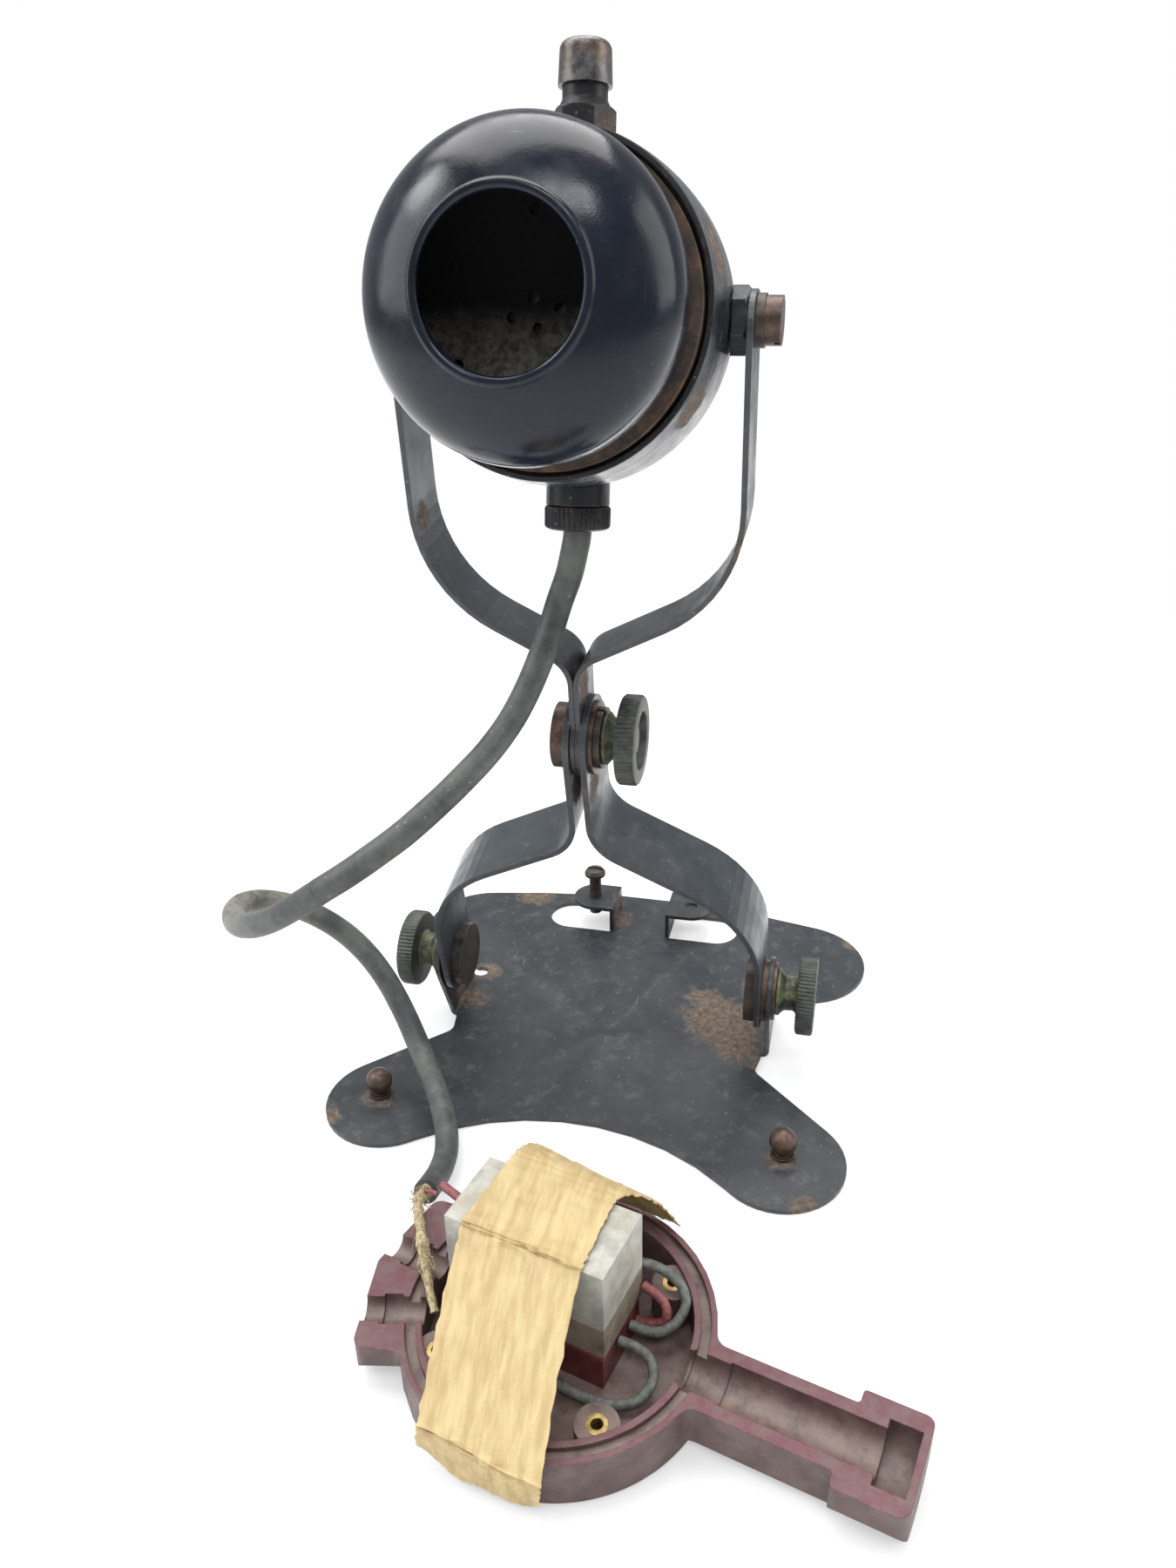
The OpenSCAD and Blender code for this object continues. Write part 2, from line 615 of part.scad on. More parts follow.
module bent_strap(points, w) {
    translate([0, w / 2, 0]) rotate([90, 0, 0]) linear_extrude(height = w) polygon(points);
}
// Outline seen from the side, as far out as reach
module side_cut(reach, points) {
    translate([-5, 0, 0]) rotate([90, 0, 90]) linear_extrude(height = reach + 10)
        polygon(points);
}

// Lower arm, drawn from the middle pivot downward and turned over
module lower_arm() {
    end = lower_w / 2;
    side = arm_side(lower_t, -end, lower_tab_x, lower_tab, lower_bend_r, lower_bow_r,
        lower_turn, lower_span, lower_len + end);
    turned = [for (p = side) [p[0], lower_len - p[1]]];
    difference() {
        intersection() {
            bent_strap(turned, lower_w);
            side_cut(lower_span, belt([[0, 0, end], [0, lower_len, end]]));
        }
        rod_x(-5, ear_in_x + 10, bolt_r + run_gap);
        translate([0, 0, lower_len]) rod_x(-5, 20, bolt_r + run_gap);
    }
}
module lower_arm_left() { color([0.15, 0.17, 0.2]) in_lower_fork() mirror([1, 0, 0]) lower_arm(); }
module lower_arm_right() { color([0.15, 0.17, 0.2]) in_lower_fork() lower_arm(); }

// Upper arm, with its span told because the head sits a little to the right
module upper_arm(span) {
    end = upper_w / 2;
    side = arm_side(upper_t, -upper_eye_r, upper_tab_x, upper_tab, upper_bend_r, upper_bow_r,
        upper_turn, span, upper_len + end);
    difference() {
        intersection() {
            bent_strap(side, 2 * upper_eye_r);
            union() {
                side_cut(span, belt([[0, 0, end], [0, upper_len - upper_rise, end]]));
                rod_x(-5, 15, upper_eye_r);
            }
        }
        rod_x(-5, 15, bolt_r + run_gap);
        translate([0, 0, upper_len]) rod_x(span - 5, 10, pivot_r + run_gap);
    }
}
module upper_arm_left() {
    color([0.15, 0.17, 0.2]) in_upper_fork() mirror([1, 0, 0]) upper_arm(upper_span - head_x);
}
module upper_arm_right() {
    color([0.15, 0.17, 0.2]) in_upper_fork() upper_arm(upper_span + head_x);
}

module clamp_bolt() {
    color([0.3, 0.24, 0.2]) in_upper_fork() {
        rod_x(-stack_x - mid_head_t, mid_head_t, mid_head_r);
        rod_x(-stack_x - eps, stack_x + mid_nut_x + mid_nut_len - nut_cup_t + 1, bolt_r);
    }
}
module clamp_washer() {
    color([0.4, 0.3, 0.24]) in_upper_fork()
        ring_x(stack_x, mid_washer_t, mid_washer_r, bolt_r + run_gap);
}
module clamp_spring_washer() {
    color([0.25, 0.27, 0.24]) in_upper_fork() difference() {
        ring_x(spring_washer_x, mid_spring_t, mid_spring_r, bolt_r + run_gap);
        translate([spring_washer_x - 1, -0.5, 0]) cube([mid_spring_t + 2, 1, mid_spring_r + 1]);
    }
}

// Radius of the rear shell's outside at a place along the mouth's axis
function shell_at(q) = q < 0 ? sqrt(max(0, shell_r * shell_r - q * q)) :
    sqrt(shell_r * shell_r - pow(q / rim_q, 2) * (shell_r * shell_r - rim_r * rim_r));
function shell_face(cut) = let (n = 20, m = 6, r = shell_r - cut) concat(
    [for (i = [0 : n]) let (a = -90 + 90 * i / n) [r * cos(a), r * sin(a)]],
    [for (i = [1 : m]) let (q = rim_q * i / m) [shell_at(q) - cut, q]]);

// Ball that the fittings on the shell are hollowed by, to sit on it
shell_seat = 0.2;
// How far in front of the shell's widest circle its two pivot holes lie
bore_shift = -0.05;
module shell_ball() { sphere(r = shell_r + shell_seat, $fn = 128); }

module rear_shell() {
    color([0.16, 0.18, 0.21]) in_head() difference() {
        spun(concat(shell_face(0), reversed(shell_face(shell_t))));
        on_stem() cylinder(h = 50, r = bush_neck_r, $fn = fine);
        on_stem() translate([0, 0, -50]) cylinder(h = 50, r = gland_r - 1.8, $fn = fine);
        translate([0, bore_shift, 0]) rod_x(-50, 100, boss_af / 2 - 1.95);
    }
}

module seam_ring() {
    flange = shell_at(seam_step_q) - shell_t - 0.02;
    color([0.35, 0.2, 0.12]) in_head() spun([[seam_bore_r, seam_back_q], [flange, seam_back_q],
        [flange, seam_step_q], [seam_r, seam_step_q], [seam_r, hood_back_q],
        [spigot_r, hood_back_q], [spigot_r, hood_back_q + 4], [seam_bore_r, hood_back_q + 4]]);
}

// Hood's outline from its rear edge over its widest place to the mouth's bead
bead_mid_r = mouth_r + mouth_bead_r;
bead_q = hood_q + (hood_a - shell_t / 2) * sin(acos(bead_mid_r / (hood_r - shell_t / 2)));
function hood_face(r, front_a, back_a) = let (n = 20, m = 8, front = acos(bead_mid_r / r),
    back = asin((hood_q - hood_back_q) / back_a)) concat(
    [for (i = [m : -1 : 1]) let (t = back * i / m) [r * cos(t), hood_q - back_a * sin(t)]],
    [for (i = [0 : n]) let (t = front * i / n) [r * cos(t), hood_q + front_a * sin(t)]]);
module front_hood() {
    color([0.1, 0.12, 0.16]) in_head() {
        spun(concat(hood_face(hood_r, hood_a, hood_back_a),
            reversed(hood_face(hood_in_r, hood_in_a, hood_in_back_a))));
        rotate([90, 0, 0]) rotate_extrude($fn = 96) translate([bead_mid_r, bead_q])
            circle(r = mouth_bead_r, $fn = small);
    }
}

module capsule_case() {
    r = seam_bore_r - flat_gap;
    color([0.6, 0.5, 0.3]) in_head() difference() {
        disc_q(capsule_back_q, capsule_face_q - 1 - capsule_back_q, r);
        disc_q(capsule_back_q + capsule_t, 30, r - capsule_t);
        disc_q(capsule_back_q - 1, 3, 2.6);
    }
}

// Four holes in a diamond near the middle and a ring of six round them
hole_ring_turn = 28.5;
module capsule_face() {
    a = hole_pitch;
    middle = [[a * 0.85, a * 0.15], [-a * 0.85, -a * 0.15], [-a * 0.09, a * 0.5],
        [a * 0.09, -a * 0.5]];
    color([0.33, 0.3, 0.26]) in_head() difference() {
        disc_q(capsule_face_q - 1, 1, seam_bore_r - flat_gap);
        translate([hole_mid_x, 0, hole_mid_z]) {
            for (p = middle) translate([p[0], 0, p[1]])
                disc_q(capsule_face_q - 2, 3, hole_r, small);
            for (i = [0 : 5]) rotate([0, hole_ring_turn + 60 * i, 0])
                translate([hole_ring_r, 0, 0]) disc_q(capsule_face_q - 2, 3, hole_r, small);
        }
    }
}

module diaphragm() {
    color([0.7, 0.7, 0.72]) in_head()
        disc_q(capsule_face_q - 5.5, 0.3, seam_bore_r - flat_gap - capsule_t - 0.05);
}

module carbon_chamber() {
    front = capsule_face_q - 5.5;
    back = capsule_back_q + capsule_t;
    color([0.2, 0.2, 0.2]) in_head() {
        disc_q(front - 7, 7, carbon_r);
        disc_q(back, front - 7 - back + eps, carbon_r / 3);
    }
}

terminal_x = 10;
terminal_r = 1.5;
module terminal_block() {
    color([0.3, 0.16, 0.1]) in_head() difference() {
        disc_q(capsule_back_q - block_t, block_t, terminal_x + 4);
        both_sides() translate([terminal_x, 0, 0])
            disc_q(capsule_back_q - block_t - 1, block_t + 2, terminal_r + 0.02, small);
    }
}
module terminal_screws() {
    back = capsule_back_q - block_t;
    color([0.75, 0.6, 0.3]) in_head() both_sides() translate([terminal_x, 0, 0]) {
        disc_q(back - 1.8, 1.8, terminal_r + 1.3, small);
        disc_q(back - eps, block_t - 0.3, terminal_r, small);
    }
}

// Coil along the mouth's axis or upward, as points of a helix
function coil(r, start, len, turns, upright) = let (n = turns * 12)
    [for (i = [0 : n]) let (a = 360 * i / 12, s = start + len * i / n)
        upright ? [r * cos(a), r * sin(a), s] : [r * cos(a), -s, r * sin(a)]];
coil_r = 5.5;
coil_wire_r = 0.4;
module capsule_spring() {
    front = capsule_back_q - block_t - coil_wire_r - 0.05;
    back = -sqrt(pow(shell_r - shell_t, 2) - pow(coil_r, 2)) + coil_wire_r + 0.25;
    color([0.6, 0.6, 0.6]) in_head()
        tube(coil(coil_r, back, front - back, 6, false), coil_wire_r, 6);
}

// Hexagon of a height and width across its flats, its far corners turned off
module hex_post(h, af) {
    r = af / 2 / cos(30);
    off = 0.8;
    intersection() {
        cylinder(h = h, r = r, $fn = 6);
        rotate_extrude($fn = fine) polygon([[0, 0], [r + 0.1, 0], [r + 0.1, h - off],
            [r - off, h], [0, h]]);
    }
}

module pivot_boss() {
    foot = shell_r - 4;
    difference() {
        union() {
            difference() {
                translate([foot, 0, 0]) rotate([0, 90, 0]) hex_post(boss_face_x - foot, boss_af);
                disc_q(-rim_q, 2 * rim_q, shell_r + shell_seat);
            }
            rod_x(foot + 0.5, 5, boss_af / 2 - 2.05);
        }
        rod_x(foot - 4, 30, pivot_r + 0.02);
    }
}
module pivot_boss_left() { color([0.13, 0.14, 0.15]) in_head() mirror([1, 0, 0]) pivot_boss(); }
module pivot_boss_right() { color([0.13, 0.14, 0.15]) in_head() pivot_boss(); }

module pivot_washers() {
    color([0.4, 0.34, 0.3]) in_head() both_sides()
        ring_x(pivot_washer_x, pivot_washer_t, pivot_head_r + 0.4, pivot_r + run_gap);
}
module pivot_screws() {
    x = pivot_washer_x + pivot_washer_t;
    color([0.38, 0.3, 0.25]) in_head() both_sides() difference() {
        union() {
            rod_x(x, pivot_head_t, pivot_head_r);
            rod_x(shell_r - 2, x - shell_r + 2 + eps, pivot_r);
        }
        rotate([-20, 0, 0]) translate([x + pivot_head_t - 1.4, -0.5, -10]) cube([3, 1, 20]);
    }
}

bush_top_z = cap_z + 3.2;
module button_bush() {
    foot = shell_r - 6;
    color([0.17, 0.18, 0.2]) in_head() difference() {
        union() {
            difference() {
                on_stem() {
                    translate([0, 0, foot]) hex_post(bush_foot_z - foot, bush_af);
                    translate([0, 0, bush_foot_z - eps]) cylinder(h = bush_cone_h,
                        r1 = bush_af / 2 - 0.3, r2 = bush_neck_r - 0.03, $fn = fine);
                }
                shell_ball();
            }
            on_stem() translate([0, 0, foot + 0.7]) cylinder(h = bush_top_z - foot - 0.7,
                r = bush_neck_r - 0.03, $fn = fine);
        }
        on_stem() translate([0, 0, 20]) cylinder(h = 40, r = stem_r + run_gap, $fn = small);
    }
}

cap_roof_t = 2;
module top_button() {
    top = cap_z + cap_len;
    roof = top - cap_roof_t;
    bore = bush_neck_r + 0.06;
    round_r = 1.8;
    edge = [for (i = [0 : 6]) let (a = 15 * i)
        [cap_r - 0.25 - round_r + round_r * cos(a), top - round_r + round_r * sin(a)]];
    color([0.27, 0.25, 0.24]) in_head() on_stem() {
        rotate_extrude($fn = fine) polygon(concat([[bore, cap_z], [cap_r, cap_z]], edge,
            [[0, top], [0, roof], [bore, roof]]));
        translate([0, 0, stem_end_z]) cylinder(h = roof - stem_end_z + eps, r = stem_r,
            $fn = small);
        translate([0, 0, stem_end_z]) cylinder(h = bridge_t, r = 3.2, $fn = small);
    }
}

module button_spring() {
    wire = 0.3;
    z = bush_top_z + wire + 0.05;
    len = cap_z + cap_len - cap_roof_t - bush_top_z - 2 * wire - 0.1;
    color([0.6, 0.6, 0.62]) in_head() on_stem()
        tube(coil(2.6, z, len, 3, true), wire, 6);
}

blade_z = stem_end_z - button_travel - 0.05;
blade_t = 0.4;
module switch_blades() {
    color([0.75, 0.6, 0.3]) in_head() on_stem() both_sides()
        translate([1, -4, blade_z - blade_t]) cube([2.6, 11, blade_t]);
}
module switch_block() {
    y = bush_neck_r + 0.2;
    half = 4.2;
    top = blade_z + 4.4;
    reach = shell_r - shell_t - 0.35;
    depth = sqrt(reach * reach - top * top - half * half) - stem_y - y;
    color([0.28, 0.15, 0.1]) in_head() on_stem() difference() {
        translate([-half, y, top - 8]) cube([2 * half, depth, 8]);
        both_sides() translate([1, y - 1, blade_z - blade_t]) cube([2.6, 10, blade_t]);
    }
}

module cable_gland() {
    color([0.1, 0.11, 0.12]) in_head() difference() {
        union() {
            difference() {
                on_stem() translate([0, 0, -gland_nut_z]) cylinder(h = 10, r = gland_r, $fn = fine);
                shell_ball();
            }
            on_stem() translate([0, 0, -gland_nut_z + 1])
                cylinder(h = 9, r = gland_r - 1.83, $fn = fine);
        }
        on_stem() translate([0, 0, -50]) cylinder(h = 40, r = lead_r + run_gap, $fn = fine);
    }
}
module gland_nut() {
    h = gland_nut_h;
    color([0.1, 0.11, 0.12]) in_head() on_stem() translate([0, 0, -gland_end_z]) difference() {
        cylinder(h = h, r = gland_nut_r, $fn = fine);
        translate([0, 0, -1]) cylinder(h = h + 2, r = lead_r + run_gap, $fn = fine);
    }
}

// Two wires from the lead's upper end to the capsule's terminals
module inner_wires() {
    wire = 0.7;
    color([0.5, 0.2, 0.15]) in_head() both_sides() tube([on_stem_point([0.9, 0, -26]),
        on_stem_point([2, 0, -22]), [5, stem_y - 1, -16], [8.4, 6, -9], [terminal_x, 4.2, -3.8],
        [terminal_x, 2.6, -3.6]], wire, 6);
}

// Start of the lead: a face square to the gland, just inside its lower end
function on_stem_point(p) = [p[0], (stem_y + p[1]) * cos(stem_lean) - p[2] * sin(stem_lean),
    (stem_y + p[1]) * sin(stem_lean) + p[2] * cos(stem_lean)];
function in_head_point(p) = head_pos + [p[0], p[1] * cos(head_tilt) + p[2] * sin(head_tilt),
    -p[1] * sin(head_tilt) + p[2] * cos(head_tilt)];
lead_start = [for (z = [-gland_nut_z + 8, -gland_end_z + 2, -gland_end_z - 1])
    in_head_point(on_stem_point([0, 0, z]))];
// Two lengths of the lead meet square to the line between their neighbouring points
join_step = 1.5;
function last(p) = p[len(p) - 1];
function inner(p) = [for (i = [1 : len(p) - 2]) p[i]];
function join_turn(p, q) = unit(q[1] - p[len(p) - 2]);
function join_end(p, q) = let (u = join_turn(p, q)) [last(p) - join_step * u, last(p)];
function join_start(p, q) = let (u = join_turn(p, q))
    [last(p) + face_gap * u, last(p) + join_step * u];
module lead_upper() {
    p = lead_upper_route;
    color([0.2, 0.21, 0.22]) tube(concat(lead_start, [p[0]], inner(p),
        join_end(p, lead_middle_route)), lead_r, 12);
}
module lead_middle() {
    p = lead_middle_route;
    color([0.2, 0.21, 0.22]) tube(concat(join_start(lead_upper_route, p), inner(p),
        join_end(p, lead_lower_route)), lead_r, 12);
}
module lead_lower() {
    p = lead_lower_route;
    color([0.2, 0.21, 0.22]) tube(concat(join_start(lead_middle_route, p), inner(p), [last(p)]),
        lead_r, 12);
}

// Control case half
function polar(u, v, turn) = [u * cos(turn) - v * sin(turn), u * sin(turn) + v * cos(turn)];
function spot(u, turn, r) = let (p = polar(u, 0, turn)) [p[0], p[1], r];
nook_r = 3;
nook_at = case_r + nook_r;
lug_mid_r = case_r + lug_h - lug_corner_r;
step_r = 0.8;
function corner_x(y) = sqrt(pow(nook_at, 2) - y * y);
module case_outline() {
    y = handle_w + nook_r;
    end = handle_end;
    w = handle_end_w;
    polygon(belt(concat(
        [[corner_x(y), -y, -nook_r], [handle_step - step_r, -handle_w - step_r, -step_r],
        [handle_step + 1.6, -w + 1.6, 1.6], [end - 3.2, -w + 3.2, 3.2], [end - 2, w - 2, 2],
        [handle_step + 2 * step_r, w - step_r, step_r], [handle_step, handle_w + step_r, -step_r],
        [corner_x(y), y, -nook_r], [0, 0, case_r], spot(nook_at, lug_corner_turns[0] - 13, -nook_r)],
        [for (a = lug_corner_turns) spot(lug_mid_r, a, lug_corner_r)],
        [spot(nook_at, lug_corner_turns[2] + 11, -nook_r), [0, 0, case_r]])));
}

// Undersides: a dish with a round edge, and half-round bars under the handle and the lugs
module case_underside() {
    r = case_r + 0.2;
    e = case_round_r;
    edge = [for (i = [0 : 6]) let (a = -90 + 15 * i) [r - e + e * cos(a), e + e * sin(a)]];
    rotate_extrude($fn = 96) polygon(concat([[0, 0]], edge, [[r, rim_z + 1], [0, rim_z + 1]]));
    translate([0, 0, rim_z]) {
        rod_x(0, handle_end + 5, rim_z);
        for (a = lug_bar_turns) rotate([0, 0, a]) rod_x(0, lug_mid_r + 10, lug_round_r);
    }
}

module case_half() {
    color([0.24, 0.13, 0.15]) in_case() difference() {
        union() {
            difference() {
                intersection() {
                    linear_extrude(height = rim_z) case_outline();
                    case_underside();
                }
                translate([0, 0, floor_t]) cylinder(h = rim_z, r = case_in_r, $fn = 96);
            }
            for (i = [0 : 3]) rotate([0, 0, 45 + 90 * i]) translate([insert_pc_r, 0, 1])
                cylinder(h = boss_top_z - 1, r = insert_boss_r, $fn = small);
        }
        translate([0, 0, rim_z - groove_d]) difference() {
            cylinder(h = 5, r = groove_r + groove_w / 2, $fn = 96);
            translate([0, 0, -1]) cylinder(h = 7, r = groove_r - groove_w / 2, $fn = 96);
        }
        translate([0, 0, rim_z]) {
            rod_x(case_in_r - 2, 8, trough_r - 0.8);
            rod_x(case_in_r + 0.7, 8.3, trough_r - 0.4);
            rod_x(groove_r + 6, handle_end - 8 - groove_r - 6 + 0.5, trough_r);
            rod_x(handle_end - 8, socket_len, socket_r);
            for (a = channel_turns) rotate([0, 0, a]) {
                rod_x(case_in_r - 2, 20, channel_r - 0.3);
                rod_x(case_r, 4, channel_r + 0.4);
            }
        }
        for (i = [0 : 3]) rotate([0, 0, 45 + 90 * i]) translate([insert_pc_r, 0, 4])
            cylinder(h = 20, r = insert_r, $fn = small);
    }
}

module case_inserts() {
    color([0.8, 0.65, 0.3]) in_case() for (i = [0 : 3]) rotate([0, 0, 45 + 90 * i])
        translate([insert_pc_r, 0, 4]) difference() {
            cylinder(h = boss_top_z - 4, r = insert_r, $fn = small);
            translate([0, 0, -1]) cylinder(h = 20, r = insert_bore_r, $fn = small);
        }
}

module can_box(z, h, cut) {
    translate([can_left_x + cut, can_front_y + cut, z]) cube([can_l - 2 * cut, can_w - 2 * cut, h]);
}
module can_base() {
    color([0.5, 0.47, 0.42]) in_case() difference() {
        can_box(can_z, can_base_h, 0);
        can_box(can_z + can_t, can_base_h, can_t);
    }
}
module can_lid() {
    color([0.6, 0.6, 0.62]) in_case() difference() {
        can_box(can_z + can_base_h, can_h - can_base_h, 0);
        can_box(can_z, can_h - can_t, can_t);
    }
}
module condenser_roll() {
    color([0.7, 0.6, 0.4]) in_case() can_box(can_z + can_t, can_h - 2 * can_t - 0.1, can_t + 0.1);
}

module cradle() {
    color([0.25, 0.07, 0.08]) in_case() difference() {
        translate([can_left_x + 2, can_front_y - 0.6, floor_t])
            cube([can_l - 2, can_w - 1, can_z - floor_t]);
        translate([can_left_x + 10, can_front_y - 2, floor_t + 3])
            cube([can_l - 22, 8, can_z]);
    }
}

// Strip of tape between two lines across the case half, each [x, y, z]
module tape_piece(p, q) {
    hull() for (e = [p, q]) translate(e) cube([tape_w, tape_t, tape_t]);
}
module tape_band() {
    top = can_top_z + flat_gap;
    left = can_left_x + 4.6;
    front = can_front_y - flat_gap - tape_t;
    rear = can_rear_y + flat_gap;
    wall = -case_r - 0.8 - tape_t;
    color([0.75, 0.63, 0.4]) in_case() {
        tape_piece([left, front, top], [left + 0.5, rear, top]);
        tape_piece([left, front, top], [left + 7.2, wall, rim_z + 0.6]);
        tape_piece([left + 7.2, wall, rim_z + 0.6], [left + 7.4, wall + 0.2, 3.2]);
        tape_piece([left + 0.5, rear, top], [left + 2.4, case_r - 1.6, rim_z + flat_gap]);
    }
}

module line_wire() { color([0.55, 0.2, 0.2]) in_case() tube(line_route, wire_r, 8); }
module red_wire() {
    z = [13.2, 12.8, 11.6, 9.6, 7.6, 6.4];
    route = [for (i = [0 : len(z) - 1]) [red_route[i][0], red_route[i][1], z[i]]];
    color([0.5, 0.2, 0.18]) in_case() tube(concat([[can_right_x + 0.3, 13.4, 13.4]],
        [for (i = [1 : len(z) - 1]) route[i]], [[can_right_x + 0.3, 10.2, 6]]), wire_r, 8);
}
module green_wire() {
    color([0.36, 0.42, 0.36]) in_case() tube([[12, can_rear_y + 1.3, 18], [15, 16.6, 16.6],
        [18.2, 17.2, 15], [21.4, 16.4, 13.6], [23.2, 14.2, 11.6], [22.6, 11, 9.6],
        [20.6, 8.4, 8.6], [17.6, 7.2, 8.2], [can_right_x + 0.3, 7, 8.2]], wire_r, 8);
}
module grey_wire() {
    color([0.4, 0.4, 0.4]) in_case() tube([[can_right_x + 0.3, 1.5, 9.5], [17.6, 1.6, 9.5],
        [21, 0.8, 8.6], [22.8, -2, 6.8], [21.8, -6, 5.4], [18, -8.8, 4.6], [12, -10, 4.4],
        [5, -9.8, 4.4], [-2, -9, 4.4], [-8, -8, 4.6]], wire_r, 8);
}
module braided_core() { color([0.7, 0.62, 0.4]) tube(braid_route, braid_r, 8); }

breast_plate();
strap_studs();
tab_screw();
hinge_bolt_left();
hinge_bolt_right();
hinge_washers();
thumb_nut_left();
thumb_nut_right();
case_half();
case_inserts();
can_base();
can_lid();
condenser_roll();
cradle();
tape_band();
red_wire();
green_wire();
grey_wire();
line_wire();
braided_core();
lower_arm_left();
lower_arm_right();
clamp_bolt();
clamp_washer();
clamp_spring_washer();
thumb_nut_middle();
upper_arm_left();
upper_arm_right();
rear_shell();
seam_ring();
front_hood();
capsule_case();
capsule_face();
diaphragm();
carbon_chamber();
terminal_block();
terminal_screws();
capsule_spring();
pivot_boss_left();
pivot_boss_right();
pivot_screws();
pivot_washers();
button_bush();
switch_block();
switch_blades();
button_spring();
top_button();
cable_gland();
gland_nut();
inner_wires();
lead_upper();
lead_middle();
lead_lower();
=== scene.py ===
"""Looks of the breast microphone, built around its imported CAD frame, in metres."""

import json
import math
import random

import bmesh
import bpy
from mathutils import Matrix, Vector, noise


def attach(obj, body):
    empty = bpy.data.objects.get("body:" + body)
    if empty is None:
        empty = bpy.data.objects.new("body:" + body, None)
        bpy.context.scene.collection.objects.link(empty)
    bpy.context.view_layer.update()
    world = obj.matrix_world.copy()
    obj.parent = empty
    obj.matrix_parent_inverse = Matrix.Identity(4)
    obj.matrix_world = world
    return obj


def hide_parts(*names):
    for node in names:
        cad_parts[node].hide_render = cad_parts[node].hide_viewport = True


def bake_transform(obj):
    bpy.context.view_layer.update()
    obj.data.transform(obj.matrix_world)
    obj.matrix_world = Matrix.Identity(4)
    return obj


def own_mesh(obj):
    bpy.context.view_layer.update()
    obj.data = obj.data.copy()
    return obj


MM = 0.001

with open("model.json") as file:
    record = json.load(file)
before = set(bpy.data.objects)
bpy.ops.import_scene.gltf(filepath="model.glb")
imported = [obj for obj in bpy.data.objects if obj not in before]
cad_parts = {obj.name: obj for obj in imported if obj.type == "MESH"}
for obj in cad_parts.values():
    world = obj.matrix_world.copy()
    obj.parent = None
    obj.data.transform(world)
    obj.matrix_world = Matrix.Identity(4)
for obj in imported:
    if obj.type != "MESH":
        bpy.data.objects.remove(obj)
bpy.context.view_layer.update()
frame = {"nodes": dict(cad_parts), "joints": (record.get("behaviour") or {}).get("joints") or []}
nodes = frame["nodes"]
pivots = {j["name"]: Vector(j["pos_m"]) for j in frame["joints"] if "pos_m" in j}

# Places that part.scad sets, in millimetres and degrees
HEAD_TILT = 11.6
STEM_LEAN = 1.7
UPPER_LEAN = 5.4
STEM_Y = 8
CASE_MIDDLE = (13.4, -105.7)
CASE_TURN = 14
RIM_Z = 12.5
LEAD_R = 3.05
NUT_R = 11
NUT_X = 49.3
MID_NUT_X = 5.5

LEAD_UPPER = [(1.3, -27, 155), (-0.4, -26.6, 148.5), (-2.8, -26.8, 142), (-5, -30, 134),
              (-7.6, -35.8, 126), (-10.6, -41.2, 119.4)]
LEAD_MIDDLE = [(-10.6, -41.2, 119.4), (-14.4, -47.4, 114), (-19.2, -54, 109.2),
               (-24.4, -59.6, 104.6), (-29.8, -64, 100.2), (-35.6, -67, 96),
               (-41.6, -68.6, 91.6), (-48, -69, 87)]
LEAD_LOWER = [(-48, -69, 87), (-55.5, -68.2, 81.2), (-63.6, -65.6, 75), (-72, -60.6, 69),
              (-80, -54, 64.2), (-85.8, -46, 61.2), (-88, -38.5, 59), (-86.4, -31.5, 56),
              (-81.6, -26.2, 52), (-75, -23, 47), (-68.6, -21.8, 41.8), (-63, -22, 36.4),
              (-58, -23.2, 30.6), (-53.6, -25.4, 25), (-49.4, -28.6, 20), (-45, -33, 15.6),
              (-40.6, -38, 12), (-36.6, -43, 9), (-33, -48.4, 6.8), (-30.2, -54, 5.4),
              (-28.4, -60, 4.7), (-27.8, -66, 5), (-27.6, -71.5, 6.6), (-27.4, -76.5, 8.6)]
BRAID = [(-27.3, -76.7, 8.7), (-27, -80.2, 11), (-25.8, -84.6, 13.8), (-23.6, -89.8, 15.4),
         (-20.8, -95.6, 15.6), (-18.2, -100.8, 15), (-15.4, -106, 14), (-12.4, -111, 11.8)]

head_at = [c / MM for c in pivots["head_tilt"]]

# Frames of the tilted groups
head_frame = Matrix.Translation(pivots["head_tilt"]) @ Matrix.Rotation(
    -math.radians(HEAD_TILT), 4, "X")
stem_frame = head_frame @ Matrix.Rotation(math.radians(STEM_LEAN), 4, "X") @ \
    Matrix.Translation((0, STEM_Y * MM, 0))
clamp_frame = Matrix.Translation(pivots["middle_hinge"]) @ Matrix.Rotation(
    math.radians(UPPER_LEAN), 4, "X")
hinge_frame = Matrix.Translation(pivots["lower_hinge"])
case_frame = Matrix.Translation((CASE_MIDDLE[0] * MM, CASE_MIDDLE[1] * MM, 0)) @ \
    Matrix.Rotation(-math.radians(CASE_TURN), 4, "Z")
along_x = Matrix.Rotation(math.radians(90), 4, "Y")
against_x = Matrix.Rotation(math.radians(-90), 4, "Y")
along_mouth = Matrix.Rotation(math.radians(90), 4, "X")


# Materials

